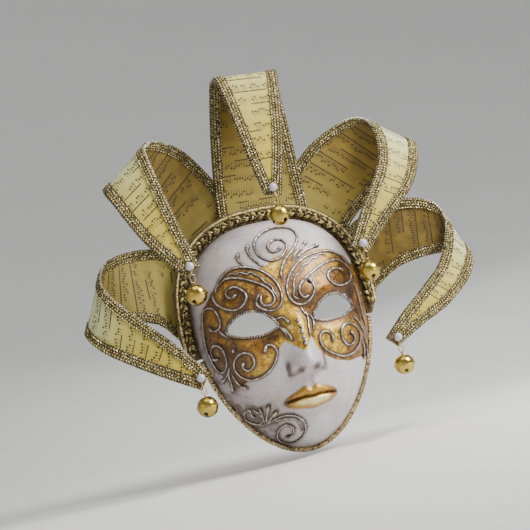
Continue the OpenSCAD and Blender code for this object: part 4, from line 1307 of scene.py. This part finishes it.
class MASK_OT_points(bpy.types.Operator):
    """Makes the papers, the folded braids and the bright edge cords of the five curled points"""
    bl_idname = "mask.points"
    bl_label = "Curled Points"

    def execute(self, context):
        c = colours()
        outer = music_paper("music paper, outside", (0.54, 0.52, 0.20), tuple(c.cream), (0.58, 0.63, 0.40),
            3.0)
        lining = music_paper("music paper, inside", tuple(c.ochre), (0.38, 0.31, 0.07), (0.115, 0.070, 0.010),
            11.0)
        stock = fibre_finish("card stock", (0.52, 0.42, 0.26), (0.36, 0.27, 0.15), 0.8, 0.0012)
        braid = thread_finish("braid thread", (0.05, 0.036, 0.014), tuple(c.thread), (0.88, 0.84, 0.62))
        silver = thread_finish("edge cord thread", (0.035, 0.026, 0.018), (0.70, 0.66, 0.52),
            (0.96, 0.94, 0.88))
        for name in POINTS:
            strip = Strip(name)
            for part, side, material, slot in (("outer_paper", -1, outer, "music_paper_outer"),
                    ("lining_paper", 1, lining, "music_paper_lining")):
                paper = self.sheet(f"{name}_{part}_sheet", strip, side)
                coat(paper, material, slot)
                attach(paper, "root")
                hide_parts(f"{name}_{part}")
            card = self.card(f"{name}_card_sheet", strip)
            coat(card, stock, "card")
            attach(card, "root")
            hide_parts(f"{name}_card")
            for part, right in (("braid_left", False), ("braid_right", True)):
                band = self.band(f"{name}_{part}_band", strip, right)
                coat(band, braid, "gold_braid")
                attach(band, "root")
                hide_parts(f"{name}_{part}")
                cord = self.edge_cord(f"{name}_{part}_cord", strip, right)
                coat(cord, silver, "gold_braid")
                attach(cord, "root")
        return {"FINISHED"}

    def card(self, name, strip):
        def place(i, j):
            return strip.at(0.2 + i / 8 * (strip.w[j] - 0.4), np.zeros(len(j)), j)

        obj = lay_grid(name, 8, len(strip.run) - 1, place)
        apply_modifier(obj, "SOLIDIFY", thickness=(strip.card - 0.04) * MM, offset=0)
        return smooth(obj, 40)

    def sheet(self, name, strip, side):
        across = 20
        along = len(strip.run) - 1
        base = side * (strip.card / 2 + strip.paper)
        point = name.split("_outer")[0].split("_lining")[0]
        number = list(POINTS).index(point)
        curl = strip.run[-1] * 0.5
        lining_shade = LINING_SHADE[point]

        def share(i):
            k = i / across
            return k if side > 0 else 1 - k

        def place(i, j):
            s = 0.3 + share(i) * (strip.w[j] - 0.6)
            run = strip.run[j]
            inner = np.clip(np.minimum(s, strip.w[j] - s) / np.maximum(strip.band[j], 1) - 0.6, 0, 1)
            ripple = 0.5 + 0.5 * np.sin(run / 9.0 + s / 14.0 + number) * np.cos(run / 23.0 - s / 17.0)
            return strip.at(s, base + side * RIPPLE * ripple * inner, j)

        def uv(i, j):
            return np.stack([share(i) * strip.w[j] + 10 * number, strip.run[j] + 3.1 * number], 1)

        def tone(i, j):
            share_of = strip.run[j] / strip.run[-1]
            if side < 0:
                return ease(0.45, 0.85, share_of)
            # On the lining the tone is higher near the root, and is lowered by the point's painted shade.
            return ease(0.45, 0.0, share_of) - 0.8 * lining_shade

        def fold(i, j):
            # Mark for the middle of the curl, weaker where the paper faces front or back.
            bent = bump((strip.run[j] - curl) / 22.0) * (1 - 0.3 * np.abs(strip.n[j, 1]))
            # On the lining the point's painted shade is added to it.
            return np.clip(bent * 0.6 + max(0.0, lining_shade) if side > 0 else bent, 0, 1)

        obj = lay_grid(name, across, along, place, uv, {"tone": tone, "fold": fold})
        apply_modifier(obj, "SOLIDIFY", thickness=strip.paper * MM, offset=-1)
        return smooth(obj, 40)

    def section(self, strip):
        """Places round the folded braid: how far in from the edge, how high, and how far round."""
        half = strip.card / 2 + strip.paper + strip.trim
        inner = strip.card / 2 + strip.paper + 0.12
        centre = half - FOLD_REACH
        flat = [(BRAID_REACH - (BRAID_REACH - centre) * k / 18, -1.0) for k in range(18)]
        bend = [(centre - half * math.sin(math.pi * k / 9), -math.cos(math.pi * k / 9)) for k in range(10)]
        back = [(s, -h) for s, h in flat[::-1]]
        outer = flat + bend + back
        around = run_of(np.array([(s, h * half) for s, h in outer]))
        rows = [(s, h * half, a - around[-1] / 2, 1.0) for (s, h), a in zip(outer, around)]
        rows += [(s, inner, 9.0, 0.0) for s in (BRAID_REACH, 1.5, -0.1)]
        rows += [(s, -inner, 9.0, 0.0) for s in (-0.1, 1.5, BRAID_REACH)]
        return np.array(rows + rows[:1])

    def band(self, name, strip, right):
        rows = self.section(strip)
        edge = strip.right if right else strip.left
        inward = -1.0 if right else 1.0
        own = run_of(edge)
        count = int(own[-1] / 0.5)
        run = np.linspace(0, own[-1], count + 1)
        where = np.interp(run, own, np.arange(len(own)))
        base, u, n, w = [between(where, v) for v in (edge, strip.u, strip.n, strip.band[:, None])]
        w = w[:, 0]
        rings = np.concatenate([[0], np.arange(count + 1), [count]])
        lid = np.ones(len(rings))
        lid[0] = lid[-1] = 0

        def knots(i, k):
            a = rows[i, 2]
            part = (np.abs(a) - BARE_EDGE) / STITCH_ROW
            column = np.floor(part)
            part = part - column
            lean = np.where(column % 2 == 0, 1.0, -1.0)
            phase = run[k] / STITCH_RUN + lean * part * 0.8 + 0.37 * column
            stitch = np.abs(np.sin(np.pi * phase)) ** 0.9 * np.sin(np.pi * np.clip(part, 0, 1)) ** 0.6
            lively = 0.7 + 0.45 * scatter(np.floor(phase), column, np.sign(a) + 2 * right)
            return np.where(rows[i, 3] > 0, np.where(np.abs(a) < BARE_EDGE, 0.3, stitch * lively), 0.0)

        def place(i, j):
            k = rings[j]
            s = rows[i, 0]
            s = np.where(s > 0, s * w[k] / BRAID_REACH, s)
            h = rows[i, 1]
            raised = STITCH_HEIGHT * knots(i, k) * rows[i, 3]
            slope = np.clip(-s / FOLD_REACH, 0, 1)
            s = s - raised * slope
            h = h + np.sign(h) * raised * (1 - slope) - np.sign(h) * 0.15 * rows[i, 3]
            s = np.where(lid[j] > 0, s, 3.0)
            h = np.where(lid[j] > 0, h, 0.0)
            return base[k] + inward * s[:, None] * u[k] + h[:, None] * n[k]

        def uv(i, j):
            return np.stack([rows[i, 2], run[rings[j]]], 1)

        def crest(i, j):
            return knots(i, rings[j])

        obj = lay_grid(name, len(rows) - 1, len(rings) - 1, place, uv, {"crest": crest})
        return smooth(close_seams(obj), 60)

    def edge_cord(self, name, strip, right):
        edge = strip.right if right else strip.left
        inward = -1.0 if right else 1.0
        both = even_line(np.hstack([edge - inward * 0.45 * strip.u, strip.n]), 0.6)
        return rope(name, both[:, :3], unit(both[:, 3:]), 1.6, pitch=5.4)


# ---- bells ----
BELL_WALL = 0.00055
FLANGE_ROLL = 0.0007
FLANGE_WIDTH = 0.0012
FLANGE_LIFT = 0.00012
SLOT_WIDTH = 0.0016
HOLE_RADIUS = 0.0020
HOLE_LEAN = math.radians(52)
EYE_RADIUS = 0.0017
EYE_WIRE = 0.00045


def soften(obj, width):
    """Rounds the sharp edges of a bell."""
    apply_modifier(obj, "BEVEL", width=width, segments=2, limit_method="ANGLE", angle_limit=math.radians(50))
    return smooth(obj, 40)


class MASK_OT_bells(bpy.types.Operator):
    """Makes the five jingle bells, each a pressed cap with its wire eye and a slotted base"""
    bl_idname = "mask.bells"
    bl_label = "Bells"

    def execute(self, context):
        cap, base = self.cap(), self.base()
        c = colours()
        brass = metal_finish("bell brass", tuple(c.brass), (0.30, 0.21, 0.05), 0.13, 0.4)
        for name, (_, _, turn, _, _) in POINTS.items():
            low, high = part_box(f"{name}_bell_cap")
            centre = Vector(((low.x + high.x) / 2, (low.y + high.y) / 2, low.z))
            for part, model in (("bell_cap", cap), ("bell_base", base)):
                clear_selection()
                piece = bpy.data.objects.new(f"{name}_{part}_brass", model.data.copy())
                context.scene.collection.objects.link(piece)
                piece.data.name = piece.name
                piece.data.transform(Matrix.Translation(centre) @ Matrix.Rotation(math.radians(turn), 4, "Z"))
                if part == "bell_cap":
                    eye = self.wire_eye(Vector((centre.x, centre.y, high.z)))
                    piece = join(piece.name, [piece, eye])
                coat(piece, brass, "bell_brass")
                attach(piece, f"{name}_bell")
                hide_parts(f"{name}_{part}")
        bpy.data.objects.remove(cap)
        bpy.data.objects.remove(base)
        return {"FINISHED"}

    def half_ball(self, name, top):
        """A half ball with a crimped flange, thickened."""
        radius = sizes().bell / 2
        clear_selection()
        bpy.ops.mesh.primitive_uv_sphere_add(segments=64, ring_count=32, radius=radius - 0.00005)
        ball = rename(bpy.context.object, name)
        bpy.ops.object.mode_set(mode="EDIT")
        bpy.ops.mesh.select_all(action="SELECT")
        bpy.ops.mesh.bisect(plane_co=(0, 0, 0.00002), plane_no=(0, 0, 1), clear_inner=True, clear_outer=False)
        bpy.ops.mesh.select_all(action="DESELECT")
        bm = bmesh.from_edit_mesh(ball.data)
        for edge in bm.edges:
            edge.select = edge.is_boundary
        bm.select_flush_mode()
        bmesh.update_edit_mesh(ball.data)
        grow = (radius + FLANGE_ROLL) / radius
        bpy.ops.mesh.extrude_edges_move(TRANSFORM_OT_translate={"value": (0, 0, 0)})
        bpy.ops.transform.resize(value=(grow, grow, 1), center_override=(0, 0, 0))
        bpy.ops.mesh.extrude_edges_move(TRANSFORM_OT_translate={"value": (0, 0, FLANGE_LIFT)})
        grow = (radius + FLANGE_WIDTH) / (radius + FLANGE_ROLL)
        bpy.ops.transform.resize(value=(grow, grow, 1), center_override=(0, 0, 0))
        bpy.ops.object.mode_set(mode="OBJECT")
        apply_modifier(ball, "SOLIDIFY", thickness=BELL_WALL, offset=-1, use_even_offset=True)
        if not top:
            ball.data.transform(Matrix.Rotation(math.pi, 4, "X"))
        return ball

    def cap(self):
        return soften(self.half_ball("bell_cap_model", True), 0.00014)

    def base(self):
        ball = self.half_ball("bell_base_model", False)
        radius = sizes().bell / 2
        for k in range(4):
            spin = Matrix.Rotation(math.pi / 2 * k, 4, "Z")
            clear_selection()
            bpy.ops.mesh.primitive_cylinder_add(vertices=40, radius=HOLE_RADIUS, depth=0.012,
                location=(0, 0, -radius))
            hole = settled()
            hole.data.transform(spin @ Matrix.Rotation(HOLE_LEAN, 4, "Y"))
            apply_modifier(ball, "BOOLEAN", object=hole, operation="DIFFERENCE", solver="EXACT")
            bpy.data.objects.remove(hole)
        for k in range(2):
            clear_selection()
            bpy.ops.mesh.primitive_cube_add(size=1, location=(0, 0, -radius))
            slot_depth = radius - radius * math.cos(HOLE_LEAN) + 0.001
            bpy.context.object.scale = (2 * radius * math.sin(HOLE_LEAN), SLOT_WIDTH, 2 * slot_depth)
            slot = settled()
            slot.data.transform(Matrix.Rotation(math.pi / 2 * k, 4, "Z"))
            apply_modifier(ball, "BOOLEAN", object=slot, operation="DIFFERENCE", solver="EXACT")
            bpy.data.objects.remove(slot)
        return soften(ball, 0.00012)

    def wire_eye(self, top):
        clear_selection()
        hung = (top.x, top.y, top.z - EYE_RADIUS - EYE_WIRE)
        bpy.ops.mesh.primitive_torus_add(major_radius=EYE_RADIUS, minor_radius=EYE_WIRE,
            major_segments=40, minor_segments=14, location=hung, rotation=(0, math.pi / 2, 0))
        return smooth(settled())


class MASK_OT_small_parts(bpy.types.Operator):
    """Finishes the backing, the pearls, the wires, the pellets and the eyelets"""
    bl_idname = "mask.small_parts"
    bl_label = "Small Parts"

    def execute(self, context):
        wire = metal_finish("wire brass", (0.72, 0.54, 0.24), (0.34, 0.22, 0.08), 0.2, 0.5)
        eyelet = metal_finish("eyelet brass", (0.50, 0.38, 0.18), (0.22, 0.15, 0.07), 0.34, 0.7)
        steel = metal_finish("pellet steel", (0.55, 0.55, 0.56), (0.22, 0.20, 0.18), 0.25, 0.5)
        board = fibre_finish("backing board", (0.20, 0.135, 0.055), (0.085, 0.052, 0.025), 0.75, 0.002)
        finishes = {"pearls": pearl_finish(), "bead_pins": wire, "ribbon_eyelets": eyelet,
            "crown_backing": board}
        for name in POINTS:
            finishes[f"{name}_link"] = wire
            finishes[f"{name}_pellet"] = steel
        for node, material in finishes.items():
            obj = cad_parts[node]
            obj.data.materials.clear()
            obj.data.materials.append(material)
        return {"FINISHED"}


# ---- stage ----
class MASK_OT_stage(bpy.types.Operator):
    """Sets the camera, the soft lights and the plain pale floor"""
    bl_idname = "mask.stage"
    bl_label = "Stage"

    def execute(self, context):
        self.camera(context)
        for name, azimuth, elevation, energy, size, distance in (
                ("key light", 54, 40, 17.5, 0.42, 1.0), ("fill light", -60, 8, 1.2, 0.9, 1.2),
                ("top light", 5, 80, 4, 0.7, 1.0), ("back light", 165, 30, 4, 0.8, 1.2)):
            lamp = bpy.data.lights.new(name, "AREA")
            lamp.energy = energy
            lamp.size = size
            lamp.color = (1.0, 0.985, 0.96)
            stand = bpy.data.objects.new(name, lamp)
            context.scene.collection.objects.link(stand)
            back = self.direction(azimuth, elevation)
            stand.location = back * distance
            stand.rotation_euler = (-back).to_track_quat("-Z", "Y").to_euler()
        world = bpy.data.worlds.new("studio")
        world.use_nodes = True
        context.scene.world = world
        world.node_tree.nodes["Background"].inputs["Color"].default_value = (0.72, 0.73, 0.75, 1)
        world.node_tree.nodes["Background"].inputs["Strength"].default_value = 0.45
        self.floor()
        return {"FINISHED"}

    def direction(self, azimuth, elevation):
        a, e = math.radians(azimuth), math.radians(elevation)
        return Vector((math.sin(a) * math.cos(e), -math.cos(a) * math.cos(e), math.sin(e)))

    def camera(self, context):
        """The lens sees the mask from a little left of front, tipped as the mask leans."""
        data = bpy.data.cameras.new("camera")
        camera = bpy.data.objects.new("camera", data)
        context.scene.collection.objects.link(camera)
        context.scene.camera = camera
        back = self.direction(-13, -2)
        distance = 1.1
        place = Matrix.Translation(Vector((0, 0, -0.010)) + back * distance)
        aim = (-back).to_track_quat("-Z", "Y").to_matrix().to_4x4()
        camera.matrix_world = place @ aim @ Matrix.Rotation(math.radians(-13.3), 4, "Z")
        data.sensor_width = 36
        data.lens = 76.96
        data.shift_x = -0.0368
        data.shift_y = 0.1302

    def floor(self):
        """A pale floor that curves up into a round wall far behind and in front of the mask."""
        low = CAD_BOX[0].z - 0.004
        clear_selection()
        bpy.ops.mesh.primitive_circle_add(vertices=128, radius=0.3, fill_type="NGON", location=(0, 0, low))
        floor = settled("floor")
        bpy.ops.object.mode_set(mode="EDIT")
        bpy.ops.mesh.select_all(action="SELECT")
        bpy.ops.mesh.select_mode(type="EDGE")
        bpy.ops.mesh.region_to_loop()
        radius, height = 0.3, low
        steps = [(0.6, low)]
        for k in range(1, 19):
            turn = math.pi / 2 * k / 18
            steps.append((0.6 + 1.6 * math.sin(turn), low + 1.6 * (1 - math.cos(turn))))
        steps.append((2.2, 3.0))
        for wide, high in steps:
            bpy.ops.mesh.extrude_edges_move(TRANSFORM_OT_translate={"value": (0, 0, high - height)})
            bpy.ops.transform.resize(value=(wide / radius, wide / radius, 1), center_override=(0, 0, 0))
            radius, height = wide, high
        bpy.ops.object.mode_set(mode="OBJECT")
        smooth(floor, 40)
        material, r, out = new_finish("floor", Roughness=0.9)
        grain = r.noise(r.place(), 0.2, 2.0)
        r.feed(out["Base Color"], r.mix(r.times(grain, 0.06), tuple(colours().floor), (0.70, 0.70, 0.70)))
        floor.data.materials.append(material)


OPERATORS = (MASK_OT_stage, MASK_OT_face, MASK_OT_scrollwork, MASK_OT_eye_rims, MASK_OT_crown, MASK_OT_jaw,
    MASK_OT_points, MASK_OT_bells, MASK_OT_small_parts)


class MASK_PT_panel(bpy.types.Panel):
    """Lists the mask's sizes, colours and pieces"""
    bl_idname = "MASK_PT_panel"
    bl_label = "Venetian Mask"
    bl_space_type = "VIEW_3D"
    bl_region_type = "UI"
    bl_category = "Mask"

    def draw(self, context):
        layout = self.layout
        for operator in OPERATORS:
            layout.operator(operator.bl_idname)
        for group in (context.scene.mask_sizes, context.scene.mask_colours):
            box = layout.box()
            for key in group.__annotations__:
                box.prop(group, key)


CLASSES = (MaskSizes, MaskColours) + OPERATORS + (MASK_PT_panel,)


def register():
    for cls in CLASSES:
        bpy.utils.register_class(cls)
    bpy.types.Scene.mask_sizes = PointerProperty(type=MaskSizes)
    bpy.types.Scene.mask_colours = PointerProperty(type=MaskColours)


def unregister():
    del bpy.types.Scene.mask_colours
    del bpy.types.Scene.mask_sizes
    for cls in reversed(CLASSES):
        bpy.utils.unregister_class(cls)


def main():
    register()
    bpy.ops.mask.stage()
    bpy.ops.mask.face()
    bpy.ops.mask.scrollwork()
    bpy.ops.mask.eye_rims()
    bpy.ops.mask.crown()
    bpy.ops.mask.jaw()
    bpy.ops.mask.points()
    bpy.ops.mask.bells()
    bpy.ops.mask.small_parts()
    clear_selection()


if __name__ == "__main__":
    main()
